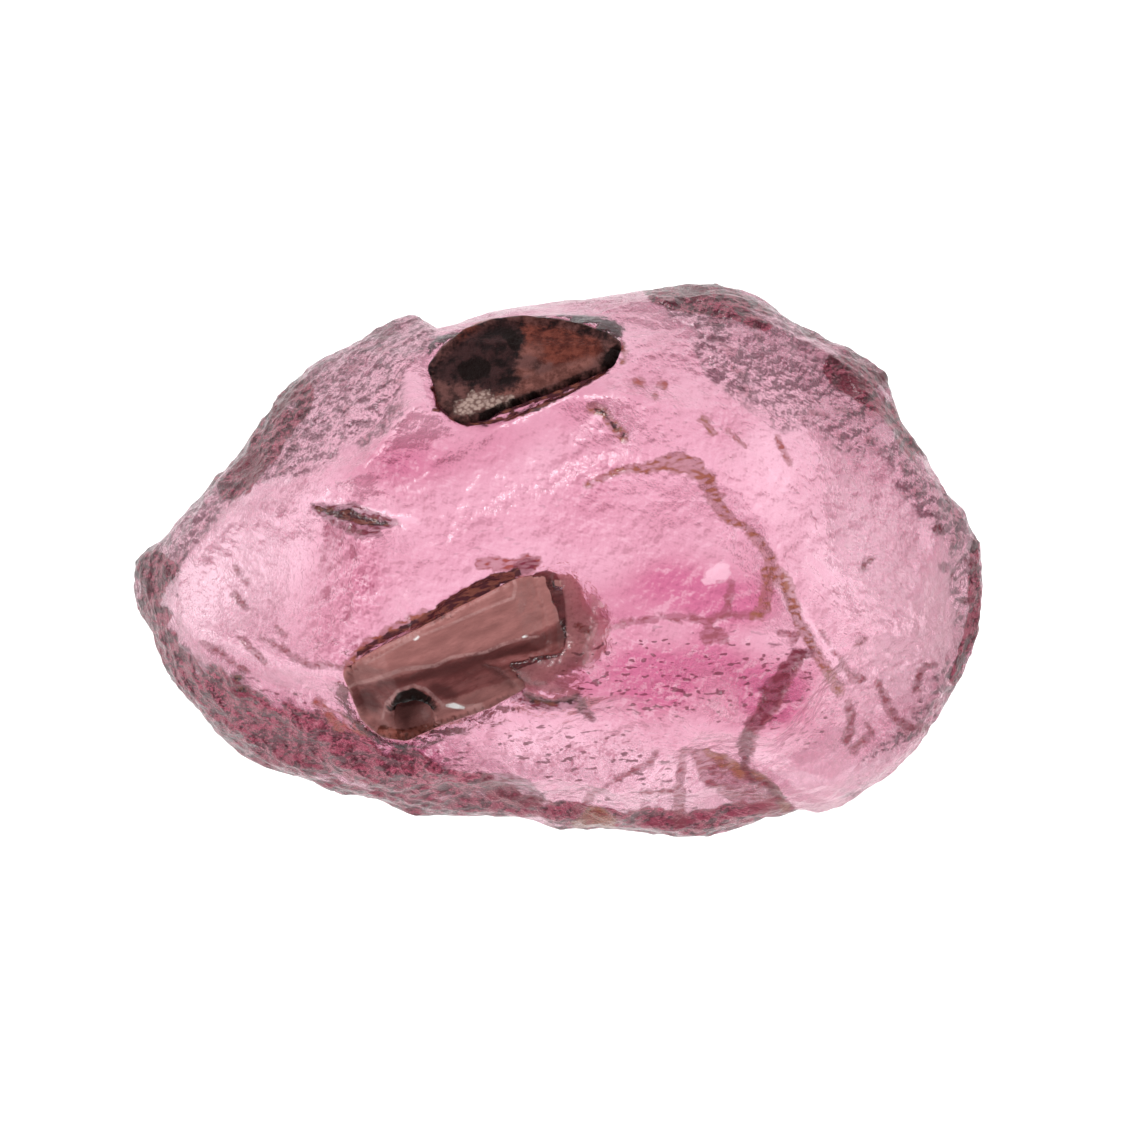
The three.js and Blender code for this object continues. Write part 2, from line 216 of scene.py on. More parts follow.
def vertices_of(piece):
    """A piece's vertices and their normals, as two arrays."""
    count = len(piece.data.vertices)
    points = np.empty(count * 3)
    normals = np.empty(count * 3)
    piece.data.vertices.foreach_get("co", points)
    piece.data.vertex_normals.foreach_get("vector", normals)
    return points.reshape(-1, 3), normals.reshape(-1, 3)


# Shader maths


class Amount:
    """A number or a socket that takes part in shader maths."""

    def __init__(self, finish, socket):
        self.finish = finish
        self.socket = socket

    def _with(self, operation, *others):
        """Maths with this amount first."""
        sockets = {i: getattr(other, "socket", other) for i, other in enumerate((self, *others))}
        node = self.finish.node("ShaderNodeMath", {"operation": operation}, sockets)
        return Amount(self.finish, node.outputs[0])

    def _after(self, operation, other):
        """Maths with this amount second."""
        node = self.finish.node("ShaderNodeMath", {"operation": operation}, {0: other, 1: self.socket})
        return Amount(self.finish, node.outputs[0])

    def __add__(self, other):
        return self._with("ADD", other)

    def __sub__(self, other):
        return self._with("SUBTRACT", other)

    def __mul__(self, other):
        return self._with("MULTIPLY", other)

    def __rsub__(self, other):
        return self._after("SUBTRACT", other)

    __radd__ = __add__
    __rmul__ = __mul__

    def between(self, low, high):
        """0 below low, 1 above high and smooth between them."""
        node = self.finish.node(
            "ShaderNodeMapRange", {"interpolation_type": "SMOOTHSTEP"},
            {"Value": self.socket, "From Min": low, "From Max": high},
        )
        return Amount(self.finish, node.outputs[0])

    def at_most(self, other):
        """The smaller of the two."""
        return self._with("MINIMUM", other)

    def at_least(self, other):
        """The larger of the two."""
        return self._with("MAXIMUM", other)


class Finish:
    """A material under construction, with its patterns in millimetres."""

    def __init__(self, name):
        self.material = bpy.data.materials.new(name)
        self.material.use_nodes = True
        self.tree = self.material.node_tree
        self.tree.nodes.clear()
        place = self.node("ShaderNodeTexCoord")
        self.place = self.node(
            "ShaderNodeMapping", {}, {"Vector": place.outputs["Object"], "Scale": (1 / MM,) * 3},
        ).outputs[0]

    def node(self, kind, settings=None, sockets=None):
        """Adds a node, with its settings first and then the values or links of its sockets."""
        node = self.tree.nodes.new(kind)
        for name, value in (settings or {}).items():
            setattr(node, name, value)
        for key, value in (sockets or {}).items():
            value = getattr(value, "socket", value)
            if isinstance(value, bpy.types.NodeSocket):
                self.tree.links.new(value, node.inputs[key])
            else:
                node.inputs[key].default_value = value
        return node

    def stored(self, name):
        """A number stored on the piece's vertices."""
        node = self.node("ShaderNodeAttribute", {"attribute_name": name})
        return Amount(self, node.outputs["Fac"])

    def drawn_out(self, stretch, shift=(0, 0, 0)):
        """The place in mm, drawn out along a plan direction in degrees where stretch gives one."""
        if stretch is None:
            return self.place
        turn, longer = stretch
        return self.node(
            "ShaderNodeMapping", {"vector_type": "TEXTURE"},
            {
                "Vector": self.place, "Location": shift, "Rotation": (0, 0, math.radians(turn)),
                "Scale": (longer, 1, 1),
            },
        ).outputs[0]

    def clouds(self, size, detail=2.0, roughness=0.5, stretch=None, shift=(0, 0, 0)):
        """Soft noise with features of a size in mm, centred on a half."""
        node = self.node(
            "ShaderNodeTexNoise", {},
            {
                "Vector": self.drawn_out(stretch, shift), "Scale": 1 / size, "Detail": detail,
                "Roughness": roughness,
            },
        )
        return Amount(self, node.outputs[0])

    def cells(self, size):
        """Distance to the nearest point of a scatter, as a share of its spacing in mm."""
        node = self.node("ShaderNodeTexVoronoi", {}, {"Vector": self.place, "Scale": 1 / size})
        return Amount(self, node.outputs[0])

    def mixed(self, amount, first, second, blend="MIX"):
        """first where amount is 0 and second where it is 1, as a colour."""
        node = self.node(
            "ShaderNodeMix", {"data_type": "RGBA", "blend_type": blend},
            {"Factor": amount, 6: first, 7: second},
        )
        return node.outputs[2]

    def bump(self, height, distance):
        """A normal that follows a height between 0 and 1, as deep as distance in mm."""
        return self.node("ShaderNodeBump", {}, {"Height": height, "Distance": distance * MM}).outputs[0]

    def surface(self, sockets, volume=None):
        """Closes the material with a Principled surface and, where given, a volume."""
        principled = self.node("ShaderNodeBsdfPrincipled", {}, sockets)
        ends = {"Surface": principled.outputs[0]}
        if volume:
            ends["Volume"] = volume
        self.node("ShaderNodeOutputMaterial", {}, ends)
        return self.material


# The garnet

# The share of a stroke's half width where its band starts to fade, and where it has gone.
BAND_FADE = (0.2, 1.05)


def smoothstep(low, high, values):
    """0 at low, 1 at high and smooth between them, also where low is the larger of the two."""
    share = np.clip((values - low) / (high - low), 0, 1)
    return share * share * (3 - 2 * share)


def spans(points, stroke):
    """For each span of a stroke, the points' distance from its middle line and its half width there."""
    for (*start, wide_start), (*end, wide_end) in zip(stroke, stroke[1:]):
        start = np.array(start)
        way = np.array(end) - start
        share = np.clip(((points[:, :2] - start) @ way) / (way @ way), 0, 1)
        distance = np.linalg.norm(points[:, :2] - start - share[:, None] * way, axis=1)
        yield distance, wide_start + share * (wide_end - wide_start)


def band(points, stroke):
    """1 along a stroke seen from above, fading to 0 at its half width."""
    best = np.zeros(len(points))
    for distance, width in spans(points, stroke):
        best = np.maximum(best, 1 - smoothstep(*BAND_FADE, distance / width))
    return best


def nearest(points, strokes):
    """Distance seen from above to the edge of the nearest of some strokes, negative inside it."""
    best = np.full(len(points), MARK_REACH)
    for stroke in strokes.values():
        for distance, width in spans(points, stroke):
            best = np.minimum(best, distance - width)
    return best


# A stroke is a line seen from above: the x and y of each of its points and its half width there, in mm.

# The frosted skin left round the rim.
SKIN_BANDS = {
    "left_edge": [
        (-5.1, -0.5, 0.3), (-4.75, 0.25, 0.4), (-3.95, 1.1, 0.5), (-3.2, 1.85, 0.85), (-2.5, 2.35, 0.8),
        (-1.8, 2.8, 0.5),
    ],
    "upper_left_plane": [(-3.6, 1.2, 0.5), (-2.9, 1.6, 0.75), (-2.2, 2.0, 0.7)],
    "lower_left_edge": [(-4.9, -0.9, 0.35), (-4.5, -1.4, 0.45), (-3.9, -1.8, 0.3)],
    "right_edge": [
        (1.6, 3.1, 0.4), (2.9, 2.7, 0.8), (3.8, 2.1, 0.8), (4.3, 1.3, 0.6), (4.9, 0.4, 0.5),
        (5.1, -0.4, 0.45), (5.0, -1.1, 0.4), (4.4, -2.0, 0.3), (3.6, -2.7, 0.3),
    ],
    "upper_right_face": [(1.9, 2.6, 0.5), (2.8, 2.2, 0.9), (3.5, 1.7, 0.7)],
}

# The dark purple skin along the edges.
PLUM_BANDS = {
    "lower_left": [
        (-4.95, -0.94, 0.36), (-4.46, -1.55, 0.6), (-3.73, -2.03, 0.8), (-2.64, -2.5, 0.82),
        (-1.55, -2.8, 0.62), (-0.46, -3.0, 0.36),
    ],
    "left_tip": [(-5.07, 0.03, 0.3), (-4.82, -0.21, 0.36), (-4.95, -0.7, 0.3)],
    "upper_left_shoulder": [(-3.91, 1.12, 0.49), (-3.49, 1.73, 0.49), (-3.12, 2.03, 0.3)],
    "top": [(1.24, 3.28, 0.27), (1.97, 3.19, 0.32), (2.46, 2.94, 0.27)],
    "upper_right_corner": [(3.43, 2.34, 0.3), (4.04, 1.97, 0.34), (4.34, 1.37, 0.28)],
    "right_tip": [(5.07, 0.27, 0.08), (5.07, -0.7, 0.12), (4.82, -1.43, 0.08)],
    "bottom": [(0.03, -3.15, 0.34), (1.61, -3.31, 0.38), (2.7, -3.06, 0.32)],
}

# The kinds of broken surface on the crown: the stroke of each patch, how grainy it is, how deep its pink
# looks, and how thickly it is set with small dark flecks.
PATCHES = {
    "left_face": ([(-4.52, -0.46, 0.55), (-3.79, -0.03, 0.85), (-3.0, 0.52, 0.61)], 0.8, 0.02, 0.1),
    "left_ridge": ([(-2.58, 0.39, 0.55), (-2.52, -0.21, 0.67), (-2.52, -0.94, 0.55)], 0.8, 0.8, 0.1),
    "shell": ([(-2.28, 1.12, 0.42), (-1.06, 1.37, 0.61), (0.39, 1.97, 0.36)], 0.15, 0.75, 0.05),
    "middle": (
        [(-1.55, 0.03, 0.49), (0.03, 0.76, 0.61), (1.12, 1.67, 0.55), (2.09, 1.73, 0.55)],
        0.5, 0.68, 0.15,
    ),
    "above_plate": ([(-0.46, 3.06, 0.3), (1.0, 2.94, 0.36), (1.61, 2.94, 0.42)], 0.4, 0.7, 0.0),
    "inside_step": ([(0.39, 0.39, 0.61), (1.24, 0.52, 0.61), (2.15, -0.09, 0.49)], 0.4, 0.65, 0.1),
    "deep_middle": ([(0.64, -0.58, 0.55), (1.49, -0.33, 0.67), (2.34, -0.46, 0.55)], 0.2, 0.95, 0.1),
    "below_fracture": ([(0.52, -1.43, 0.61), (1.73, -1.3, 0.73), (2.94, -1.67, 0.73)], 0.3, 1.0, 0.8),
    "right_field": ([(2.58, 1.12, 0.73), (3.55, 0.15, 1.03), (4.22, -0.94, 0.91)], 0.5, 0.2, 0.0),
    "right_of_step": ([(2.95, 1.75, 0.45), (3.05, 0.7, 0.5), (3.0, -0.3, 0.45)], 0.5, 0.5, 0.0),
    "bottom_light": ([(-0.46, -2.21, 0.42), (0.64, -2.46, 0.61), (1.37, -2.76, 0.55)], 0.7, 0.15, 0.8),
    "lower_left_pits": (
        [(-3.85, -1.85, 0.61), (-2.76, -2.15, 0.67), (-1.43, -2.52, 0.61)],
        0.8, 0.9, 1.0,
    ),
    "lower_right_flake": ([(2.82, -2.76, 0.49), (3.67, -2.64, 0.55), (4.4, -2.15, 0.36)], 0.2, 0.6, 0.0),
    "lower_right_arcs": ([(3.31, -1.55, 0.55), (3.91, -2.03, 0.61)], 0.5, 0.7, 0.2),
}

# The same three values outside every patch, and how deep the underside's pink looks.
PLAIN_PATCH = (0.4, 0.55, 0.1)
UNDER_DEEP = 0.1

# Where the broken surface is chipped small, and where it is drawn into ripples.
CHIPPED_BANDS = {
    "bottom": [(-3.4, -2.3, 0.7), (-1.5, -2.7, 0.7), (0.5, -2.6, 0.9), (2.6, -2.9, 0.7)],
    "lower_right_arcs": [(3.6, -1.5, 0.5), (4.6, -1.4, 0.6)],
}
RIPPLED_BANDS = {
    "ridge": [(-2.6, 0.3, 0.45), (-2.45, -0.4, 0.6), (-2.3, -1.0, 0.45)],
}

# Cracks, stains and dark or light marks on the broken face. The black marks are painted shade in slots,
# grooves, pits and cracks, and the pale ones are raised a little and painted pale as highlights.
MARKS = {
    # Painted shade: black in the slots beside the crystals, round the plate and in the cores of grooves,
    # pits, cracks and the lens shadow.
    "black": {
        "prism_slot": [
            (-0.48, -0.12, 0.05), (-0.78, -0.24, 0.09), (-1.11, -0.415, 0.1), (-1.39, -0.575, 0.095),
            (-1.62, -0.715, 0.075),
        ],
        "plate_outline": [
            (-1.46, 2.13, 0.046), (-1.43, 1.88, 0.039), (-1.27, 1.73, 0.046), (-1.08, 1.66, 0.054),
            (-0.83, 1.68, 0.039), (-0.44, 1.78, 0.031), (-0.17, 1.88, 0.031), (0.18, 2.06, 0.035),
            (0.58, 2.3, 0.046), (0.69, 2.55, 0.05),
        ],
        "plate_groove": [
            (-1.0, 1.74, 0.05), (-0.6, 1.86, 0.08), (-0.27, 1.97, 0.08), (0.02, 2.07, 0.08),
            (0.31, 2.21, 0.07), (0.5, 2.34, 0.05),
        ],
        "prism_slot_core": [
            (-1.6, -0.7, 0.05), (-1.75, -0.755, 0.045), (-1.92, -0.825, 0.04), (-2.2, -0.975, 0.035),
            (-2.42, -1.13, 0.015),
        ],
        "stroke_core": [(0.43, 1.84, 0.014), (0.53, 1.79, 0.02), (0.66, 1.65, 0.02), (0.77, 1.52, 0.024)],
        "edge_crack_core": [(-0.3, -1.64, 0.015), (-0.02, -1.7, 0.028), (0.2, -1.68, 0.022)],
        "pit_a_core": [(-3.87, -1.38, 0.024), (-3.83, -1.39, 0.024)],
        "pit_b_core": [(-3.84, -1.54, 0.028), (-3.79, -1.56, 0.028)],
        "lens_core": [
            (-2.9, 0.66, 0.02), (-2.7, 0.6, 0.05), (-2.49, 0.57, 0.075), (-2.25, 0.5, 0.065),
            (-2.05, 0.47, 0.02),
        ],
        "plate_nub": [(-1.48, 2.11, 0.039), (-1.43, 2.09, 0.046)],
        "hair": [(-1.64, 1.86, 0.008), (-1.54, 1.84, 0.012), (-1.43, 1.81, 0.015)],
    },
    "rust": {
        "prism_slot_left": [
            (-1.57, -0.7, 0.114), (-1.9, -0.83, 0.108), (-2.2, -1.0, 0.102), (-2.48, -1.23, 0.072),
        ],
        "prism_low_edge": [
            (-2.11, -1.99, 0.042), (-1.83, -2.06, 0.06), (-1.46, -1.94, 0.046), (-1.14, -1.83, 0.037),
            (-0.83, -1.7, 0.023),
        ],
        "plate_hook": [(0.66, 2.66, 0.019), (0.77, 2.61, 0.027), (0.81, 2.52, 0.027), (0.78, 2.4, 0.019)],
        "plate_top": [
            (-1.33, 2.6, 0.015), (-0.98, 2.85, 0.015), (-0.75, 2.9, 0.019), (-0.36, 2.9, 0.017),
            (-0.07, 2.88, 0.015), (0.22, 2.84, 0.015), (0.58, 2.71, 0.015),
        ],
        "step_crest": [
            (0.36, 0.92, 0.024), (0.58, 1.05, 0.024), (0.79, 1.12, 0.03), (1.06, 1.13, 0.049),
            (1.3, 1.2, 0.073), (1.44, 1.23, 0.073), (1.63, 1.17, 0.085),
        ],
        "step_shadow": [
            (1.3, 1.17, 0.055), (1.61, 1.12, 0.082), (1.78, 1.0, 0.082), (1.87, 0.79, 0.073),
            (1.97, 0.61, 0.064), (2.09, 0.5, 0.037),
        ],
        "step_thin": [(2.09, 0.52, 0.029), (2.21, 0.44, 0.029), (2.34, 0.32, 0.039), (2.45, 0.22, 0.039)],
        "step_knee": [
            (2.42, 0.24, 0.034), (2.51, 0.13, 0.051), (2.55, -0.03, 0.051), (2.59, -0.14, 0.034),
        ],
        "step_branch": [
            (2.48, -0.09, 0.036), (2.51, -0.31, 0.049), (2.48, -0.52, 0.061), (2.42, -0.62, 0.049),
            (2.34, -0.65, 0.024),
        ],
        "step_lower": [
            (2.6, -0.12, 0.069), (2.71, -0.24, 0.069), (2.81, -0.46, 0.05), (2.88, -0.7, 0.05),
            (2.98, -0.88, 0.042), (3.12, -1.13, 0.042), (3.29, -1.37, 0.042), (3.38, -1.52, 0.05),
        ],
        "brown_stroke": [
            (0.41, 1.86, 0.049), (0.53, 1.8, 0.049), (0.66, 1.66, 0.049), (0.78, 1.5, 0.057),
        ],
        "short_stroke": [(1.74, 1.73, 0.029), (1.86, 1.58, 0.043)],
        "bottom_corner": [
            (1.8, -2.3, 0.018), (2.0, -2.42, 0.049), (2.23, -2.54, 0.054), (2.46, -2.63, 0.049),
            (2.65, -2.79, 0.03), (2.75, -2.96, 0.025),
        ],
        "wedge": [(0.25, -3.15, 0.049), (0.47, -3.06, 0.109), (0.59, -3.15, 0.097)],
    },
    "orange": {
        "prism_far_crumbs": [(-0.49, -0.03, 0.066), (-0.35, -0.01, 0.103), (-0.26, -0.02, 0.043)],
        "prism_far_crumbs_low": [(-0.44, -0.12, 0.056), (-0.35, -0.17, 0.033)],
        "prism_tip": [(0.23, -0.77, 0.019), (0.37, -0.8, 0.023)],
        "prism_left_stain": [(-2.53, -1.96, 0.049), (-2.39, -1.93, 0.032)],
        "dot_a": [(0.95, 2.17, 0.034), (1.0, 2.17, 0.034)],
        "dot_b": [(1.23, 2.14, 0.034), (1.27, 2.14, 0.034)],
        "dot_c": [(1.15, 2.02, 0.025), (1.16, 2.02, 0.025)],
        "line_a": [(2.62, 1.49, 0.017), (2.69, 1.34, 0.021), (2.77, 1.21, 0.017)],
        "line_b": [(2.04, 1.58, 0.017), (2.17, 1.46, 0.017), (2.24, 1.41, 0.013)],
        "near_prism": [
            (-0.92, -0.03, 0.047), (-0.7, -0.01, 0.064), (-0.52, -0.05, 0.064), (-0.36, -0.04, 0.095),
            (-0.27, -0.01, 0.064),
        ],
        "left_red": [
            (-2.6, -1.81, 0.025), (-2.49, -1.94, 0.043), (-2.37, -2.02, 0.051), (-2.26, -2.0, 0.034),
        ],
        "patch_red": [(-2.91, -1.67, 0.034), (-2.74, -1.81, 0.043), (-2.62, -2.01, 0.034)],
    },
    "maroon": {
        "prism_edge_crack": [
            (-0.59, -1.55, 0.036), (-0.35, -1.63, 0.055), (-0.02, -1.71, 0.061), (0.21, -1.66, 0.061),
            (0.32, -1.79, 0.036), (0.44, -1.9, 0.024),
        ],
        "slot_end_crumbs": [(-0.46, -0.08, 0.05), (-0.38, -0.03, 0.065), (-0.28, -0.02, 0.045)],
        "prism_edge_shade": [(-0.5, -1.47, 0.073), (-0.41, -1.64, 0.036)],
        "jagged": [
            (3.02, -1.07, 0.041), (2.85, -1.12, 0.056), (2.79, -1.24, 0.056), (2.69, -1.35, 0.084),
            (2.63, -1.49, 0.098), (2.53, -1.72, 0.084), (2.4, -1.89, 0.07), (2.29, -2.02, 0.07),
            (2.25, -2.2, 0.07), (2.26, -2.32, 0.056),
        ],
        "jagged_side": [(2.64, -1.44, 0.036), (2.52, -1.43, 0.024), (2.46, -1.52, 0.024)],
        "corner_dark": [
            (2.26, -2.31, 0.036), (2.23, -2.42, 0.036), (2.36, -2.69, 0.03), (2.55, -2.72, 0.036),
            (2.68, -2.87, 0.049),
        ],
        "lens_shadow": [
            (-2.93, 0.67, 0.02), (-2.7, 0.58, 0.1), (-2.49, 0.55, 0.15), (-2.21, 0.47, 0.13),
            (-1.94, 0.47, 0.02),
        ],
        "lens_shadow_low": [(-2.59, 0.47, 0.047), (-2.37, 0.38, 0.079), (-2.18, 0.36, 0.064)],
        "spot_skin_a": [(-3.79, 1.22, 0.146), (-3.67, 1.12, 0.158)],
        "spot_skin_b": [(-3.4, 1.79, 0.049), (-3.25, 2.03, 0.073)],
        "spot_skin_c": [(-2.12, 2.76, 0.036), (-2.02, 2.82, 0.049)],
        "pit_a": [(-3.87, -1.38, 0.058), (-3.83, -1.39, 0.058)],
        "pit_b": [(-3.85, -1.54, 0.069), (-3.78, -1.56, 0.069)],
        "rim_spot": [(3.5, 2.17, 0.085), (3.59, 2.11, 0.097)],
        "rim_spot_b": [(3.91, 2.24, 0.049), (3.96, 2.17, 0.061)],
        "rim_spot_c": [(3.0, 2.85, 0.036), (3.09, 2.8, 0.049)],
        "top_edge": [(1.51, 3.29, 0.061), (1.73, 3.27, 0.061)],
        "pit_r1": [(4.59, 0.41, 0.049), (4.61, 0.38, 0.036)],
        "pit_r2": [(5.02, -0.01, 0.049), (5.03, -0.03, 0.049)],
        "pit_r3": [(4.67, -0.05, 0.036), (4.68, -0.08, 0.036)],
        "pit_r4": [(4.79, -0.16, 0.03), (4.8, -0.18, 0.03)],
        "pit_r5": [(4.96, -0.47, 0.03), (5.03, -0.44, 0.03)],
        "bottom_patch": [
            (-0.87, -2.62, 0.054), (-0.64, -2.69, 0.133), (-0.42, -2.74, 0.146), (-0.21, -2.85, 0.054),
        ],
    },
    "crack": {
        "fracture": [
            (0.66, -0.79, 0.018), (0.9, -0.7, 0.018), (1.22, -0.65, 0.018), (1.57, -0.66, 0.024),
            (1.79, -0.69, 0.024), (2.01, -0.62, 0.03), (2.31, -0.64, 0.024),
        ],
        "branch_up": [(2.08, -0.25, 0.024), (2.06, -0.41, 0.036), (2.03, -0.6, 0.024)],
        "dash_1": [(1.79, -0.79, 0.018), (1.98, -0.81, 0.018)],
        "dash_2": [(1.74, -0.87, 0.018), (2.0, -0.87, 0.018)],
        "dash_3": [(1.78, -0.94, 0.018), (2.02, -0.95, 0.024)],
        "dash_4": [(2.66, -0.83, 0.018), (2.85, -0.88, 0.03), (2.8, -0.98, 0.018)],
        "jagged_halo": [
            (2.9, -1.1, 0.051), (2.72, -1.35, 0.102), (2.55, -1.7, 0.111), (2.32, -2.0, 0.093),
            (2.26, -2.3, 0.085),
        ],
        "bottom_break": [
            (1.72, -2.36, 0.088), (1.95, -2.55, 0.209), (2.25, -2.72, 0.242), (2.55, -2.88, 0.154),
        ],
        "vertical_crack": [
            (1.52, -2.25, 0.031), (1.49, -2.54, 0.039), (1.47, -2.83, 0.047), (1.49, -3.15, 0.064),
        ],
        "vertical_top": [(1.52, -2.28, 0.03), (1.8, -2.3, 0.024)],
        "side_crack": [
            (1.01, -2.81, 0.018), (1.17, -2.79, 0.018), (1.32, -2.81, 0.018), (1.45, -2.77, 0.018),
        ],
        "thin_crack": [
            (1.18, -2.29, 0.018), (1.1, -2.43, 0.022), (0.9, -2.51, 0.018), (0.69, -2.65, 0.018),
            (0.47, -2.81, 0.022), (0.2, -3.0, 0.024),
        ],
        "patch_edge": [
            (-0.81, -2.82, 0.024), (-0.64, -2.88, 0.036), (-0.35, -2.92, 0.036), (-0.1, -2.89, 0.024),
        ],
        "left_dash_1": [(-3.89, -0.05, 0.018), (-3.82, -0.13, 0.024), (-3.73, -0.21, 0.012)],
        "left_dash_2": [(-3.89, -0.38, 0.018), (-3.8, -0.47, 0.024), (-3.7, -0.56, 0.012)],
        "left_dash_3": [(-3.83, -0.89, 0.024), (-3.67, -1.06, 0.03), (-3.51, -1.2, 0.024)],
        "left_dash_4": [(-3.37, -0.77, 0.024), (-3.29, -0.87, 0.018)],
        "left_crack": [
            (-3.56, -0.89, 0.012), (-3.29, -1.03, 0.018), (-3.12, -1.16, 0.024), (-2.94, -1.24, 0.024),
            (-2.48, -1.24, 0.018),
        ],
        "left_crack_low": [
            (-4.27, -0.98, 0.024), (-4.11, -1.06, 0.03), (-3.97, -1.17, 0.024), (-3.73, -1.3, 0.024),
        ],
        "arc_dark": [
            (3.5, -1.69, 0.029), (3.53, -1.85, 0.039), (3.5, -2.01, 0.039), (3.45, -2.15, 0.029),
        ],
        "arc_dots": [(3.74, -1.94, 0.024), (3.77, -2.07, 0.036), (3.57, -2.24, 0.049)],
        "dash_r1": [(3.67, -0.07, 0.018), (3.74, 0.01, 0.024), (3.79, 0.04, 0.018)],
        "dash_r2": [(3.61, -1.01, 0.018), (3.71, -0.92, 0.024)],
        "step_dots": [(3.15, -0.82, 0.018), (3.26, -0.95, 0.018)],
        "step_dots_b": [(3.32, -1.07, 0.018), (3.38, -1.15, 0.018)],
        "step_dots_c": [
            (3.33, -1.3, 0.036), (3.43, -1.22, 0.024), (3.54, -1.39, 0.036), (3.65, -1.4, 0.03),
        ],
        "bubble_edge": [
            (3.87, -1.46, 0.029), (3.94, -1.61, 0.029), (3.99, -1.75, 0.029), (4.11, -1.91, 0.034),
            (4.25, -1.97, 0.034), (4.46, -2.01, 0.019),
        ],
        "bubble_right": [
            (4.35, -1.55, 0.029), (4.36, -1.4, 0.029), (4.46, -1.28, 0.019), (4.58, -1.24, 0.014),
        ],
    },
    # Painted highlights: light marks along ridges and lips, and glints on the rim, raised a little as well.
    "pale_highlight": {
        "lens_lip": [
            (-3.02, 0.76, 0.024), (-2.75, 0.7, 0.03), (-2.48, 0.66, 0.03), (-2.21, 0.59, 0.036),
            (-1.94, 0.53, 0.03), (-1.67, 0.5, 0.018),
        ],
        "step_light": [
            (2.65, -0.21, 0.055), (2.94, -0.72, 0.073), (3.21, -1.04, 0.082), (3.43, -1.33, 0.055),
        ],
        "rim_glint_top": [(3.94, 2.1, 0.07), (3.97, 2.03, 0.06)],
        "rim_glint_middle": [(3.86, 1.58, 0.06), (3.96, 1.5, 0.06)],
        "rim_glint_low": [(4.38, 1.25, 0.05), (4.43, 1.19, 0.04)],
        "bright_wedge": [(1.79, -0.2, 0.036), (1.92, -0.14, 0.085), (2.0, -0.07, 0.049)],
        "low_right_light": [
            (2.34, -2.3, 0.049), (2.64, -2.42, 0.085), (2.94, -2.64, 0.097), (3.31, -2.74, 0.109),
            (3.79, -2.54, 0.146), (4.34, -2.28, 0.121),
        ],
        "left_ridge_up": [
            (-4.75, -0.46, 0.036), (-4.4, -0.03, 0.061), (-3.95, 0.52, 0.061), (-3.59, 0.86, 0.049),
            (-3.25, 1.0, 0.036),
        ],
        "left_ridge_down": [
            (-4.75, -0.48, 0.049), (-4.34, -0.84, 0.049), (-3.85, -1.06, 0.049), (-3.12, -1.28, 0.061),
            (-2.58, -1.33, 0.036),
        ],
    },
}

# How deep the surface is cut along each kind of mark, where the edge of the cut starts and where it is
# full, how far from a mark the distance to it is stored, and the height below which there are no
# marks. All in mm.
MARK_DEPTHS = {
    "black": 0.03, "rust": 0.012, "orange": 0.0, "maroon": 0.015, "crack": 0.01, "pale_highlight": -0.015,
}
CUT_EDGE = (-0.02, 0.005)
MARK_REACH = 0.25
MARK_FLOOR = 0.8

# The height of a normal from which a face carries marks, carries the black stain of a slot, is divided
# finely and takes the crown's material. What lies along bands, and the skin, fade in between two such
# heights.
MARK_FACES = 0.05
SLOT_FACES = -0.3
FINE_FACES = 0.15
BELLY_FACES = -0.3
CROWN_FADE = (0.0, 0.3)
SKIN_FADE = (BELLY_FACES + 0.05, 0.1)

# The walls of a pocket are this near to its crystal, in mm. Nearer than the first of the pair, what
# looks down isn't moved, and the stone sinks less and less from the second to the first, so that a thin
# cover over a crystal stays whole.
POCKET_WALL = 0.08
STILL_REACH = (0.1, 0.3)

# The way towards a fixed light along which a facet has to lean to be painted pale, and how far apart, in
# mm, the peel is read twice to find how it leans; a facet that leans the other way gets painted shade.
PAINTED_LIGHT_WAY = (-0.55, 0.8, 0.0)
PEEL_SHIFT = (0.015, -0.022, 0.0)

# Noise, in rows: its height, the size of its features, the place where it is read and, if it is drawn
# out, the direction in degrees and how many times longer. Sizes and the surface's heights are in mm.
# The two skins read theirs from places of their own, and between the values of SKIN_EDGE and
# SKIN_SPOTS a skin starts at its edge and in its thin spots.
SKIN_NOISE = ((0.9, 0.7, 0.0), (0.6, 0.28, 6.0))
SKIN_EDGE = (0.1, 0.9)
SKIN_SPOTS = (-0.6, 0.4)
SKIN_PLACE = 61.0
PLUM_PLACE = 83.0
PATCH_NOISE = ((0.25, 0.8, 71.0),)
MOTTLE_NOISE = ((0.7, 0.42, 91.0, -40, 1.7), (0.6, 0.17, 97.0, -40, 1.5))
BROAD_WAVES = ((0.05, 1.3, 3.0), (0.03, 0.55, 7.0))
CLEAN_WAVES = (0.012, 0.16, 23.0, 20, 3.0)
CHIPS = ((0.07, 0.42, 29.0, -10, 1.6), (0.05, 0.2, 31.0))
RIPPLES = (0.055, 0.15, 37.0, 80, 3.0)

# Rows with two heights: that on clean faces, and what a rough face adds.
ROUGH_WAVES = (
    (0.006, 0.03, 0.26, 11.0, -25, 1.4),
    (0.004, 0.025, 0.14, 17.0, 15, 1.6),
    (0.002, 0.015, 0.08, 19.0, -40, 1.6),
)

# How far the small relief has to sink to start a hollow, and how much further to be a full one, in mm.
# The hollows are darkened with painted shade.
HOLLOW_FROM = 0.004
HOLLOW_DEEP = 0.03


def waves(points, size, start, turn=0.0, longer=1.0):
    """Smooth noise from -1 to 1 with features of a size in mm, drawn out along a plan direction."""
    turned = points @ np.array(Matrix.Rotation(math.radians(turn), 3, "Z"))
    turned[:, 0] /= longer
    return np.array([noise.noise(Vector(place)) for place in turned / size + start])


def summed(points, rows):
    """The sum of some rows of noise."""
    return sum(height * waves(points, *row) for height, *row in rows)


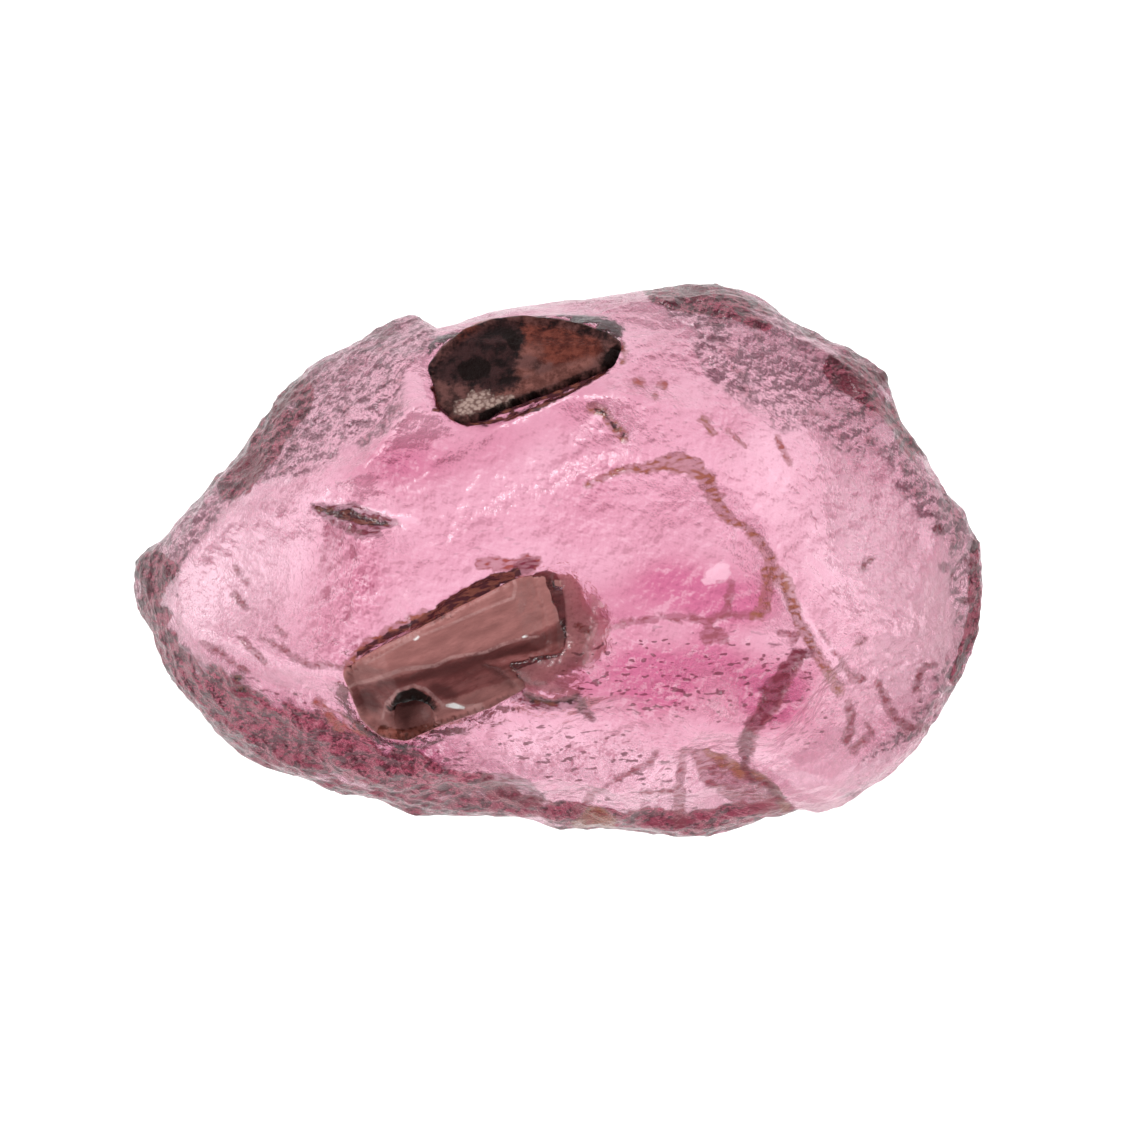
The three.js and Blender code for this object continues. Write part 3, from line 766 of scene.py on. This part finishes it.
def marked(points, normals, kind):
    """Distance to the nearest mark of a kind on the stone, whose underside has none."""
    lowest = SLOT_FACES if kind == "black" else MARK_FACES
    bare = (normals[:, 2] < lowest) | (points[:, 2] < MARK_FLOOR)
    return np.where(bare, MARK_REACH, nearest(points, MARKS[kind]))


def along_any(bands, points):
    """1 along any of the bands, fading to 0 at their edges."""
    return np.max([band(points, stroke) for stroke in bands.values()], axis=0)


def over(bands, points, normals):
    """1 along any of the bands where they lie on the crown."""
    return along_any(bands, points) * smoothstep(*CROWN_FADE, normals[:, 2])


def patchy_over(bands, points, normals, place):
    """How far a skin covers the surface along some bands of the crown, with ragged edges and thin spots."""
    patchy = summed(points, [(height, size, place + shift) for height, size, shift in SKIN_NOISE])
    along = along_any(bands, points)
    covered = smoothstep(*SKIN_EDGE, along + 0.4 * patchy * (1 - np.abs(2 * along - 1)))
    covered *= smoothstep(*SKIN_FADE, normals[:, 2] + 0.3 * patchy * (normals[:, 2] < 0.4))
    return covered * (0.55 + 0.45 * smoothstep(*SKIN_SPOTS, patchy))


def patchwork(points, normals):
    """How grainy, deep pink and flecked the surface is, one column for each."""
    values = np.tile(PLAIN_PATCH, (len(points), 1))
    for stroke, *kind in PATCHES.values():
        inside = over({"patch": stroke}, points, normals)[:, None]
        values = values * (1 - inside) + np.array(kind) * inside
    values += summed(points, PATCH_NOISE)[:, None] * (1, 1, 0)
    below = smoothstep(0.0, -BELLY_FACES, -normals[:, 2])
    values[:, 1] += (UNDER_DEEP - values[:, 1]) * below
    return np.clip(values, 0, 1)


def to_crystals(points):
    """Distance in mm from each point to the nearer crystal."""
    near = np.full(len(points), np.inf)
    for node in ("long_prism_crystal", "plate_crystal"):
        tree = tree_of(node)
        distances = [tree.find_nearest(Vector(place) * MM)[3] for place in points]
        near = np.minimum(near, distances)
    return near / MM


def relief(points, normals, skin, grainy):
    """How far each point moves along its normal, in mm, and how deep in a small hollow it then lies, which
    the tint darkens as painted shade.
    """
    rough = np.maximum(skin, grainy)
    chipped = over(CHIPPED_BANDS, points, normals)
    rippled = over(RIPPLED_BANDS, points, normals)
    broad = summed(points, BROAD_WAVES)
    small = sum((low + more * rough) * waves(points, *row) for low, more, *row in ROUGH_WAVES)
    height, *row = CLEAN_WAVES
    small += height * (1 - skin) * waves(points, *row)
    for height, *row in CHIPS:
        small -= height * chipped * np.abs(waves(points, *row))
    height, *row = RIPPLES
    small += height * rippled * waves(points, *row)
    painted_hollow_shade = smoothstep(0.0, HOLLOW_DEEP, -small - HOLLOW_FROM) * (0.35 + 1.1 * rippled)
    for kind, depth in MARK_DEPTHS.items():
        if depth:
            small -= depth * (1 - smoothstep(*CUT_EDGE, marked(points, normals, kind)))
    return broad + small, painted_hollow_shade


def stone_surface(finish, settings, tint, roughness, normal):
    """Closes a material of the stone, which is see-through and takes its pink from its depth."""
    body = finish.node(
        "ShaderNodeVolumeAbsorption", {},
        {"Color": settings.body_colour, "Density": settings.body_density},
    )
    return finish.surface(
        {
            "Transmission Weight": 1.0, "IOR": settings.refraction, "Specular Tint": settings.gloss,
            "Base Color": tint, "Roughness": roughness, "Normal": normal,
        },
        body.outputs[0],
    )


# The uneven skin of the broken faces: the size of its features in mm, and the direction in degrees in
# which it is drawn out and how many times longer.
PEEL_CLOUDS = {"size": 0.11, "detail": 3.0, "roughness": 0.55, "stretch": (-40, 1.2)}

# Where a stain starts to fade and where it has gone, in mm outside its stroke's edge.
STAIN_EDGE = (-0.02, 0.025)
LIGHT_EDGE = (-0.02, 0.02)
BLACK_EDGE = (-0.012, 0.012)

# What the stone's vertices store beside the distances to its marks.
STORED = ("skin", "plum", "grainy", "deep", "flecked", "wall", "painted_hollow_shade", "under", "mottle", "slant_lighting")

CROWN_ROUGHNESS = 0.26
BELLY_ROUGHNESS = 0.72


def crown_finish(settings):
    """See-through pink with a frosted grey skin, rust in its cracks, dark and light marks, and painted
    light and shade on its facets and in its hollows.
    """
    finish = Finish("Rhodolite")
    skin, plum, grainy, deep, flecked, wall, painted_hollow_shade, under, mottle, slant_lighting = map(finish.stored, STORED)
    peel = finish.clouds(**PEEL_CLOUDS)
    beside = finish.clouds(**PEEL_CLOUDS, shift=PEEL_SHIFT)
    flecks = finish.clouds(size=0.06, detail=1.0, roughness=0.5, stretch=(5, 2.4))
    skinned = skin.at_least(plum)
    rugged = grainy.at_least(skinned)
    # Painted light and shade: how far a facet leans towards a fixed light, from the slope stored on the
    # vertices and from the peel read twice a little apart.
    facet_lighting = slant_lighting + (peel - beside) * (1.2 + rugged * 3.0)

    # The clear stone: deeper pink in places, with painted shade in its hollows and where a facet leans away
    # from the light, and painted highlights where it leans towards it.
    tint = finish.mixed(deep, settings.pale_tint, settings.deep_tint)
    shade = (1 - facet_lighting.between(0.1, 0.5)) * (0.4 + rugged * 0.3) + painted_hollow_shade * (0.2 + grainy * 0.5)
    tint = finish.mixed(shade.at_most(0.95), tint, settings.painted_shade_tint, "MULTIPLY")
    # Painted highlights where a facet leans towards the light.
    tint = finish.mixed(facet_lighting.between(0.5, 0.9) * (0.2 + rugged * 0.4), tint, settings.pale_tint)

    # The frosted grey skin, the plum one over it, and the dark flecks, which show where they are worn. Both
    # skins take a lit colour and a painted shade by how a facet leans towards the light.
    worn = peel * 0.8 + mottle * 0.6 - 0.2
    frosted = (skin * 1.3 - 0.45 + worn * 0.8).between(0.0, 0.75) * skin.between(0.02, 0.4)
    frost = finish.mixed(facet_lighting.between(0.25, 0.75), settings.skin_painted_shade, settings.skin_tint)
    tint = finish.mixed(frosted, tint, frost)
    stained = (plum * 1.6 - 0.9 + worn * 1.9).between(0.1, 0.6) * plum.between(0.02, 0.25)
    stained = stained.at_least(frosted * worn.between(0.6, 0.8) * 0.7)
    stain = finish.mixed(facet_lighting.between(0.3, 0.8), settings.plum_painted_shade, settings.plum_tint)
    tint = finish.mixed(stained, tint, stain)
    fleck = (flecks + flecked * 0.08).between(0.68, 0.71) * flecked.between(0.0, 0.4) * 0.9
    tint = finish.mixed(fleck, tint, settings.maroon)

    # Light marks painted pale as highlights, the stained walls round the crystals, the stains and, over
    # them all, the black of the slots, which is painted shade.
    edge = (peel - 0.5) * 0.14
    ragged = edge + (flecks - 0.5) * 0.09 - 0.02
    light = 1 - (finish.stored("pale_highlight") + ragged).between(*LIGHT_EDGE)
    tint = finish.mixed(light * 0.6, tint, settings.pale_tint)
    tint = finish.mixed(wall * 0.4, tint, settings.wall_tint)
    for kind in ("crack", "rust", "orange", "maroon"):
        inside = 1 - (finish.stored(kind) + ragged).between(*STAIN_EDGE)
        inside = inside * (0.7 + 0.3 * flecks.between(0.4, 0.62))
        tint = finish.mixed(inside, tint, getattr(settings, kind))
    # Painted shade: the black of the slots and grooves, with a little rust in it.
    inside = 1 - (finish.stored("black") + edge).between(*BLACK_EDGE)
    black = finish.mixed(flecks.between(0.45, 0.6) * 0.25, settings.black, settings.rust)
    tint = finish.mixed(inside, tint, black)

    normal = finish.bump(peel * (0.2 + rugged), distance=0.055)
    return stone_surface(finish, settings, tint, CROWN_ROUGHNESS + under * 0.5, normal)


def belly_finish(settings):
    """The plain pink of the stone's underside, frosted evenly."""
    finish = Finish("Rhodolite underside")
    peel = finish.clouds(size=0.08, detail=2.0, roughness=0.6)
    tint = finish.mixed(peel.between(0.2, 0.8) * (2 * UNDER_DEEP), settings.pale_tint, settings.deep_tint)
    normal = finish.bump(peel, distance=0.015)
    return stone_surface(finish, settings, tint, BELLY_ROUGHNESS + peel * 0.12, normal)


def refine_crown(piece):
    """Divides the faces of the crown, which carries the fine marks."""
    only(piece)
    bpy.ops.object.mode_set(mode="EDIT")
    bpy.ops.mesh.select_all(action="DESELECT")
    bpy.ops.object.mode_set(mode="OBJECT")
    crown = (face_heights(piece, "normal") > FINE_FACES) & (face_heights(piece, "center") > MARK_FLOOR)
    piece.data.polygons.foreach_set("select", crown)
    bpy.ops.object.mode_set(mode="EDIT")
    bpy.ops.mesh.subdivide(number_cuts=1)
    bpy.ops.object.mode_set(mode="OBJECT")


class MakeGarnet(bpy.types.Operator):
    """Remeshes the stone finely, breaks its surface up and gives it its see-through material"""

    bl_idname = "garnet.make_stone"
    bl_label = "Garnet"

    def execute(self, context):
        settings = context.scene.garnet_stone
        piece = copy_of("garnet", "garnet_stone")
        resize(piece, 1 / MM)
        modified(piece, "REMESH", mode="VOXEL", voxel_size=settings.grain)
        modified(piece, "SMOOTH", factor=0.5, iterations=settings.smoothing)
        refine_crown(piece)
        points, normals = vertices_of(piece)
        skin = patchy_over(SKIN_BANDS, points, normals, SKIN_PLACE)
        plum = patchy_over(PLUM_BANDS, points, normals, PLUM_PLACE)
        patches = patchwork(points, normals)
        height, painted_hollow_shade = relief(points, normals, np.maximum(skin, plum), patches[:, 0])
        away = to_crystals(points)
        # The cover over a crystal is thin, so it isn't sunk, and the roof of its pocket isn't moved.
        height -= np.minimum(height, 0) * smoothstep(*STILL_REACH[::-1], away)
        height -= height * (away < STILL_REACH[0]) * (normals[:, 2] < 0)
        moved = points + normals * height[:, None]
        moved[:, 2] = np.maximum(moved[:, 2], 0)
        move_vertices(piece, moved)
        # Painted light: how far the relief turns each normal towards a fixed light, stored so that the tint
        # is lighter or darker by it.
        leaning = (vertices_of(piece)[1] - normals) @ np.array(PAINTED_LIGHT_WAY)
        vertex_values(piece, "slant_lighting", 0.5 + leaning)
        vertex_values(piece, "mottle", 0.5 + summed(points, MOTTLE_NOISE))
        vertex_values(piece, "skin", skin)
        vertex_values(piece, "plum", plum)
        vertex_values(piece, "wall", (away < POCKET_WALL).astype(float))
        # Painted shade: how deep each point lies in a small hollow.
        vertex_values(piece, "painted_hollow_shade", painted_hollow_shade)
        vertex_values(piece, "under", smoothstep(0.0, -BELLY_FACES, -normals[:, 2]))
        for name, column in zip(("grainy", "deep", "flecked"), patches.T):
            vertex_values(piece, name, column)
        for kind in MARKS:
            vertex_values(piece, kind, marked(points, normals, kind))
        resize(piece, MM)
        only(piece)
        bpy.ops.object.shade_smooth()
        placed(piece, "garnet", crown_finish(settings))
        piece.data.materials.append(belly_finish(settings))
        belly = face_heights(piece, "normal") < BELLY_FACES
        piece.data.polygons.foreach_set("material_index", belly.astype(int))
        return {"FINISHED"}


# The crystals

# What shows on the long crystal: its lower face and dark parts along the ridge, in the hollow and at its
# left end, all painted shade, black parts, rust, and pale edges and glints that are painted highlights.
PRISM_ZONES = {
    "lower": {
        "under_ridge": [
            (-2.48, -1.58, 0.093), (-2.06, -1.58, 0.174), (-1.46, -1.45, 0.221), (-0.76, -1.24, 0.221),
            (-0.02, -0.93, 0.186), (0.35, -0.61, 0.116),
        ],
    },
    # Painted shade along the ridge, in the round hollow and at the left end.
    "dark": {
        "ridge_shadow": [
            (-2.13, -1.46, 0.033), (-1.46, -1.33, 0.06), (-1.14, -1.25, 0.074), (-0.67, -1.06, 0.079),
            (-0.21, -0.98, 0.079), (0.03, -0.84, 0.093), (0.3, -0.61, 0.102),
        ],
        "hollow_shade": [(-1.46, -1.49, 0.079), (-1.27, -1.58, 0.07)],
        "left_end": [(-2.3, -1.61, 0.093), (-2.2, -1.72, 0.084)],
    },
    # Painted shade: black in the slot and at the top of the round hollow.
    "black": {
        "slot": [
            (-0.5, -0.16, 0.037), (-0.76, -0.27, 0.079), (-1.09, -0.45, 0.084), (-1.37, -0.61, 0.079),
            (-1.6, -0.75, 0.06),
        ],
        "hollow_top": [
            (-2.01, -1.72, 0.037), (-1.89, -1.6, 0.051), (-1.72, -1.56, 0.06), (-1.55, -1.64, 0.046),
            (-1.46, -1.71, 0.023),
        ],
    },
    "rust": {
        "slot_left": [
            (-1.6, -0.75, 0.06), (-1.88, -0.86, 0.056), (-2.18, -1.03, 0.051), (-2.46, -1.24, 0.037),
        ],
        "far_end": [(-0.44, -0.05, 0.084), (-0.3, -0.03, 0.07)],
        "low_strip": [
            (-2.11, -1.99, 0.033), (-1.83, -2.05, 0.046), (-1.46, -1.93, 0.037), (-1.14, -1.83, 0.028),
        ],
    },
    # Painted highlights along the ridge, round the hollow, at the slot's lip and at a notch.
    "pale_highlight": {
        "ridge": [
            (-2.51, -1.47, 0.019), (-2.18, -1.39, 0.023), (-1.83, -1.27, 0.028), (-1.46, -1.23, 0.023),
            (-1.27, -1.13, 0.021), (-0.86, -1.07, 0.021), (-0.67, -0.98, 0.021), (-0.44, -0.91, 0.019),
            (-0.23, -0.88, 0.014),
        ],
        "arch": [
            (-2.1, -1.87, 0.016), (-2.05, -1.68, 0.021), (-1.9, -1.53, 0.023), (-1.72, -1.47, 0.023),
            (-1.58, -1.51, 0.023), (-1.46, -1.62, 0.023), (-1.34, -1.73, 0.021),
        ],
        "arch_foot": [
            (-1.37, -1.73, 0.028), (-1.27, -1.71, 0.046), (-1.09, -1.73, 0.028), (-0.9, -1.69, 0.016),
        ],
        "slot_lip": [
            (-0.5, -0.28, 0.019), (-0.53, -0.42, 0.021), (-0.72, -0.49, 0.019), (-1.32, -0.75, 0.016),
            (-1.74, -0.91, 0.014), (-2.3, -1.21, 0.012),
        ],
        "notch": [(-0.14, -1.18, 0.037), (0.07, -1.17, 0.046), (0.33, -1.12, 0.023)],
    },
    # Painted glints.
    "glint": {
        "hollow_foot": [(-1.32, -1.71, 0.016), (-1.24, -1.71, 0.034), (-1.12, -1.74, 0.014)],
        "upper_edge": [(-1.71, -0.92, 0.012), (-1.66, -0.89, 0.014)],
        "ridge": [(-0.42, -0.89, 0.008), (-0.36, -0.87, 0.011)],
    },
}

# What shows on the plate: its dark half, black lines, the outline among them a painted shadow along its
# pocket's wall, red half, pale patches and crumbs.
PLATE_ZONES = {
    "dark": {
        "left_half": [
            (-1.33, 2.3, 0.174), (-1.1, 2.38, 0.29), (-0.83, 2.49, 0.368), (-0.65, 2.67, 0.252),
        ],
        "lower_middle": [(-0.83, 2.15, 0.135), (-0.56, 2.15, 0.097)],
        "top_edge": [(-0.56, 2.87, 0.031), (-0.02, 2.85, 0.031), (0.57, 2.69, 0.027)],
    },
    "black": {
        "left_core": [(-1.06, 2.3, 0.135), (-0.91, 2.34, 0.116)],
        "upper_core": [(-0.58, 2.73, 0.089), (-0.52, 2.63, 0.077)],
        # Painted shadow along the wall of the plate's pocket.
        "outline": [
            (-1.46, 2.13, 0.046), (-1.43, 1.88, 0.039), (-1.27, 1.73, 0.05), (-1.08, 1.67, 0.058),
            (-0.83, 1.69, 0.043), (-0.44, 1.79, 0.033), (-0.17, 1.88, 0.033), (0.18, 2.07, 0.035),
            (0.57, 2.31, 0.05), (0.66, 2.53, 0.058),
        ],
        "inner_line": [
            (-0.91, 1.76, 0.039), (-0.6, 1.9, 0.027), (-0.27, 2.03, 0.023), (0.02, 2.12, 0.023),
            (0.31, 2.25, 0.023), (0.45, 2.34, 0.015),
        ],
    },
    "red": {
        "corner": [(-1.14, 2.69, 0.089), (-0.98, 2.78, 0.077)],
        "right_half": [(-0.36, 2.73, 0.174), (-0.02, 2.61, 0.252), (0.37, 2.59, 0.155)],
    },
    "patch": {
        "middle": [(-0.44, 2.55, 0.07), (-0.23, 2.54, 0.066)],
        "low": [(-0.44, 2.3, 0.062), (-0.31, 2.26, 0.046)],
        "band": [(-0.71, 2.03, 0.058), (-0.36, 2.13, 0.081), (0.02, 2.26, 0.085), (0.39, 2.42, 0.066)],
    },
    "crumbs": {
        "grain": [(-1.14, 1.84, 0.074), (-0.98, 1.93, 0.108), (-0.87, 2.01, 0.066)],
        "grain_right": [(-0.83, 1.89, 0.05), (-0.56, 1.97, 0.043)],
    },
}

# Edge of the faces that a crystal is remeshed into, and how much it swells to fill its pocket, in mm.
CRYSTAL_GRAIN = 0.03
CRYSTAL_FIT = 0.07

# The crystals' swells and their dents, in rows of noise as above: lengthwise stripes and shallow chips
# on the long one, and an uneven, pitted face on the plate.
PRISM_NOISE = ((0.008, 0.1, 41.0, 24, 6.0), (0.012, 0.2, 43.0))
PLATE_NOISE = ((0.012, 0.25, 47.0), (0.014, 0.11, 53.0))

# A ray comes down from the first height to find how deep the garnet lies over a crystal. The crystal
# swells between the next two depths, and between the last two it is painted paler, as painted light on its
# buried part. All in mm. It also swells at its sides, between two values of how far a face has turned from
# looking up.
COVER_FROM = 9.0
COVER_DEPTHS = (0.02, 0.07)
BURIED_DEPTHS = (0.075, 0.12)
SIDE_TURNS = (0.3, 0.6)

# The crystals' colours, in pairs where a pattern mixes two.
PRISM_COLOURS = {
    "plain": ((0.3, 0.115, 0.108, 1), (0.41, 0.165, 0.155, 1)),
    # Painted shade: the lower face is a darker copy of the plain colours.
    "lower": ((0.165, 0.044, 0.043, 1), (0.27, 0.085, 0.082, 1)),
    "rust": ((0.0975, 0.0192, 0.0123, 1), (0.273, 0.0787, 0.0613, 1)),
    # Painted shade: the dark parts and the black ones.
    "dark": (0.09, 0.022, 0.0215, 1),
    "black": (0.0117, 0.0035, 0.00262, 1),
    # Painted light: the buried part is painted paler than it would look.
    "buried_painted_light": (0.9, 0.55, 0.5, 1),
    # Painted highlights.
    "pale_highlight": (0.585, 0.332, 0.323, 1),
    "glint": (1, 0.95, 0.94, 1),
}
PLATE_COLOURS = {
    "plain": ((0.03, 0.0115, 0.0105, 1), (0.115, 0.046, 0.042, 1)),
    "red": ((0.05, 0.0085, 0.006, 1), (0.14, 0.034, 0.023, 1)),
    "patch": ((0.1, 0.032, 0.026, 1), (0.22, 0.082, 0.068, 1)),
    "dark": ((0.007, 0.0024, 0.0026, 1), (0.034, 0.0125, 0.013, 1)),
    "crumbs": ((0.34, 0.235, 0.205, 1), (0.14, 0.078, 0.068, 1)),
    "black": (0.0054, 0.00119, 0.00101, 1),
}


def zone_share(finish, kind, edge, soft):
    """1 inside the strokes of a kind and 0 outside them, with an edge as soft as asked, in mm."""
    return 1 - (finish.stored(kind) + edge).between(-soft, soft)


def prism_finish():
    """Brown-mauve and glassy, striped lengthwise, with a pale ridge and a dark slot along one edge. Its
    lower face and dark parts are painted shade, its pale edges and glints painted highlights, and its
    buried part is painted paler as painted light.
    """
    finish = Finish("Smoky crystal")
    stripes = finish.clouds(size=0.12, detail=4.0, roughness=0.6, stretch=(24, 3))
    mottle = finish.clouds(size=0.09, detail=3.0, roughness=0.6)
    edge = (mottle - 0.5) * 0.07
    hues = PRISM_COLOURS
    tint = finish.mixed(stripes.between(0.3, 0.75), *hues["plain"])
    # Painted shade on the lower face.
    low = finish.mixed(stripes.between(0.35, 0.65), *hues["lower"])
    tint = finish.mixed(zone_share(finish, "lower", edge, 0.02), tint, low)
    # Painted shade in the dark parts, and further down the black of the slot and hollow.
    tint = finish.mixed(zone_share(finish, "dark", edge, 0.05) * 0.8, tint, hues["dark"])
    rusty = finish.mixed(mottle.between(0.4, 0.6), *hues["rust"])
    tint = finish.mixed(zone_share(finish, "rust", edge, 0.015), tint, rusty)
    tint = finish.mixed(zone_share(finish, "black", edge, 0.015), tint, hues["black"])
    # Painted light: the part buried under the garnet is painted paler.
    buried_painted_light = finish.stored("covered").between(0.8, 1.0) * 0.8
    tint = finish.mixed(buried_painted_light, tint, hues["buried_painted_light"])
    # Painted highlights on the pale edges and glints.
    broken = 0.4 + 0.6 * mottle.between(0.4, 0.55)
    tint = finish.mixed(zone_share(finish, "pale_highlight", edge * 0.3, 0.012) * broken * 0.5, tint, hues["pale_highlight"])
    tint = finish.mixed(zone_share(finish, "glint", edge * 0.2, 0.012), tint, hues["glint"])
    rough = 0.42 - mottle.between(0.62, 0.7) * 0.25
    return finish.surface({
        "Base Color": tint, "Roughness": rough, "Specular IOR Level": 0.2,
        "Normal": finish.bump(stripes + mottle * 0.5, distance=0.015),
    })


def plate_finish():
    """Dark brown and black on one half, mottled with rust red on the other, with pale crumbs."""
    finish = Finish("Rusty crystal")
    mottle = finish.clouds(size=0.16, detail=5.0, roughness=0.68)
    grains = finish.cells(size=0.05)
    edge = (mottle - 0.5) * 0.3
    share = mottle.between(0.38, 0.62)
    hues = PLATE_COLOURS
    tint = finish.mixed(share, *hues["plain"])
    zones = (
        ("red", zone_share(finish, "red", edge, 0.05)),
        ("patch", zone_share(finish, "patch", edge, 0.05) * 0.85),
        ("dark", zone_share(finish, "dark", edge, 0.06)),
    )
    for kind, inside in zones:
        tint = finish.mixed(inside, tint, finish.mixed(share, *hues[kind]))
    crumb = finish.mixed(grains.between(0.35, 0.75), *hues["crumbs"])
    tint = finish.mixed(zone_share(finish, "crumbs", edge, 0.03), tint, crumb)
    tint = finish.mixed(zone_share(finish, "black", edge * 0.4, 0.02), tint, hues["black"])
    return finish.surface({
        "Base Color": tint, "Roughness": 0.5 - grains * 0.1, "Specular IOR Level": 0.05,
        "Normal": finish.bump(mottle, distance=0.05),
    })


def bedded(points, normals):
    """How far the garnet covers a crystal, and how far each point moves out to meet it without a gap."""
    tree = tree_of("garnet")
    down = Vector((0, 0, -1))
    tops = [tree.ray_cast(Vector((x, y, COVER_FROM)) * MM, down)[0] for x, y, _ in points]
    over_it = np.array([0 if top is None else top.z / MM for top in tops]) - points[:, 2]
    covered = smoothstep(*COVER_DEPTHS, over_it)
    sides = smoothstep(*SIDE_TURNS, 1 - normals[:, 2])
    return smoothstep(*BURIED_DEPTHS, over_it), CRYSTAL_FIT * np.maximum(covered, sides)


def made_crystal(node, name, zones, noise_rows):
    """A finely remeshed copy of a crystal, roughened by swells and dents, with its zones stored."""
    piece = copy_of(node, name)
    resize(piece, 1 / MM)
    modified(piece, "REMESH", mode="VOXEL", voxel_size=CRYSTAL_GRAIN)
    modified(piece, "SMOOTH", factor=0.5, iterations=1)
    points, normals = vertices_of(piece)
    covered, outwards = bedded(points, normals)
    (swell, *swells), (dent, *dents) = noise_rows
    height = swell * waves(points, *swells) - dent * np.abs(waves(points, *dents))
    move_vertices(piece, points + normals * (height + outwards)[:, None])
    vertex_values(piece, "covered", covered)
    for kind, strokes in zones.items():
        vertex_values(piece, kind, nearest(points, strokes))
    resize(piece, MM)
    only(piece)
    bpy.ops.object.shade_smooth()
    return piece


class MakePrism(bpy.types.Operator):
    """Makes the long crystal with its ridge and its round hollow"""

    bl_idname = "garnet.make_prism"
    bl_label = "Long crystal"

    def execute(self, context):
        piece = made_crystal("long_prism_crystal", "long_prism", PRISM_ZONES, PRISM_NOISE)
        placed(piece, "long_prism_crystal", prism_finish())
        return {"FINISHED"}


class MakePlate(bpy.types.Operator):
    """Makes the dark crystal plate"""

    bl_idname = "garnet.make_plate"
    bl_label = "Crystal plate"

    def execute(self, context):
        piece = made_crystal("plate_crystal", "crystal_plate", PLATE_ZONES, PLATE_NOISE)
        placed(piece, "plate_crystal", plate_finish())
        return {"FINISHED"}


# The stage

# The height of the stone's rim, the gap between the stone and the floor, the floor's radius, in
# metres, and the number of corners round it.
RIM_LEVEL = 0.0019
FLOOR_GAP = 0.00003
FLOOR_RADIUS = 0.4
CORNERS = 96

# The camera's sensor in mm, where it stands beside the origin, and the nearest and the farthest that
# it sees, in metres.
SENSOR = 36.0
CAMERA_PLACE = (0.00007, -0.00001)
NEAREST = 0.001
FARTHEST = 2.0

# The open ring round the stage, whose white the stone's sides mirror: its radius at the foot and at
# the top, and its height.
BACKDROP = (0.3, 0.34, 0.04)

# Soft lights round the stone: the way to each in degrees round from +X and up from level, its
# distance and size in metres, and its power in watts.
LIGHTS = {
    "key": (120, 36, 0.12, 0.04, 0.11),
    "left": (190, 38, 0.12, 0.04, 0.04),
    "right": (15, 38, 0.12, 0.04, 0.04),
}


def table_finish(settings):
    """A pale table lit evenly from below."""
    return Finish("Pale table").surface({
        "Base Color": BLACK, "Roughness": 1.0, "Specular IOR Level": 0.0, "Emission Color": WHITE,
        "Emission Strength": settings.floor_glow,
    })


class MakeStage(bpy.types.Operator):
    """Lays the pale floor, hangs the soft lights and sets the camera straight above"""

    bl_idname = "garnet.make_stage"
    bl_label = "Stage"

    def execute(self, context):
        settings = context.scene.garnet_stage
        bpy.ops.object.select_all(action="DESELECT")
        bpy.ops.mesh.primitive_circle_add(vertices=CORNERS, radius=FLOOR_RADIUS, fill_type="NGON")
        floor = context.active_object
        floor.name = "floor"
        floor.location.z = -FLOOR_GAP
        floor.data.materials.append(table_finish(settings))
        floor.data.materials[0].cycles.emission_sampling = "NONE"
        low, high, rise = BACKDROP
        bpy.ops.mesh.primitive_cone_add(
            vertices=CORNERS, radius1=low, radius2=high, depth=rise, end_fill_type="NOTHING",
            location=(0, 0, rise / 2 - FLOOR_GAP),
        )
        backdrop = context.active_object
        backdrop.name = "backdrop"
        backdrop.data.materials.append(floor.data.materials[0])

        for name, (azimuth, elevation, distance, size, power) in LIGHTS.items():
            way = Vector((1, 0, 0))
            way.rotate(Euler((0, -math.radians(elevation), math.radians(azimuth))))
            bpy.ops.object.light_add(type="AREA", radius=size, location=way * distance)
            light = context.active_object
            light.name = "light_" + name
            light.rotation_euler = way.to_track_quat("Z", "Y").to_euler()
            light.data.shape = "DISK"
            light.data.size = size
            light.data.energy = power

        world = bpy.data.worlds.new("Room")
        world.use_nodes = True
        background = world.node_tree.nodes["Background"]
        background.inputs["Color"].default_value = WHITE
        background.inputs["Strength"].default_value = settings.room_light
        context.scene.world = world

        height = settings.view_width / SENSOR * settings.lens + RIM_LEVEL
        bpy.ops.object.camera_add(location=(*CAMERA_PLACE, height), rotation=(0, 0, 0))
        camera = context.active_object
        camera.name = "camera"
        camera.data.lens = settings.lens
        camera.data.sensor_width = SENSOR
        camera.data.clip_start = NEAREST
        camera.data.clip_end = FARTHEST
        context.scene.camera = camera
        context.scene.view_settings.view_transform = "Standard"
        context.scene.view_settings.look = "None"
        return {"FINISHED"}


# The sidebar


class GarnetPanel(bpy.types.Panel):
    """Lists the steps that build the stone"""

    bl_idname = "VIEW3D_PT_garnet"
    bl_label = "Garnet"
    bl_space_type = "VIEW_3D"
    bl_region_type = "UI"
    bl_category = "Garnet"

    def draw(self, context):
        for step in STEPS:
            self.layout.operator(step.bl_idname)
        for group in (context.scene.garnet_stone, context.scene.garnet_stage):
            for name in group.__annotations__:
                self.layout.prop(group, name)


STEPS = (MakeStage, MakeGarnet, MakePrism, MakePlate)
CLASSES = (GarnetStone, GarnetStage, *STEPS, GarnetPanel)


def register():
    for kind in CLASSES:
        bpy.utils.register_class(kind)
    bpy.types.Scene.garnet_stone = bpy.props.PointerProperty(type=GarnetStone)
    bpy.types.Scene.garnet_stage = bpy.props.PointerProperty(type=GarnetStage)


def unregister():
    del bpy.types.Scene.garnet_stage
    del bpy.types.Scene.garnet_stone
    for kind in reversed(CLASSES):
        bpy.utils.unregister_class(kind)


def main():
    """Builds everything."""
    register()
    bpy.ops.garnet.make_stage()
    bpy.ops.garnet.make_stone()
    bpy.ops.garnet.make_prism()
    bpy.ops.garnet.make_plate()


if __name__ == "__main__":
    main()
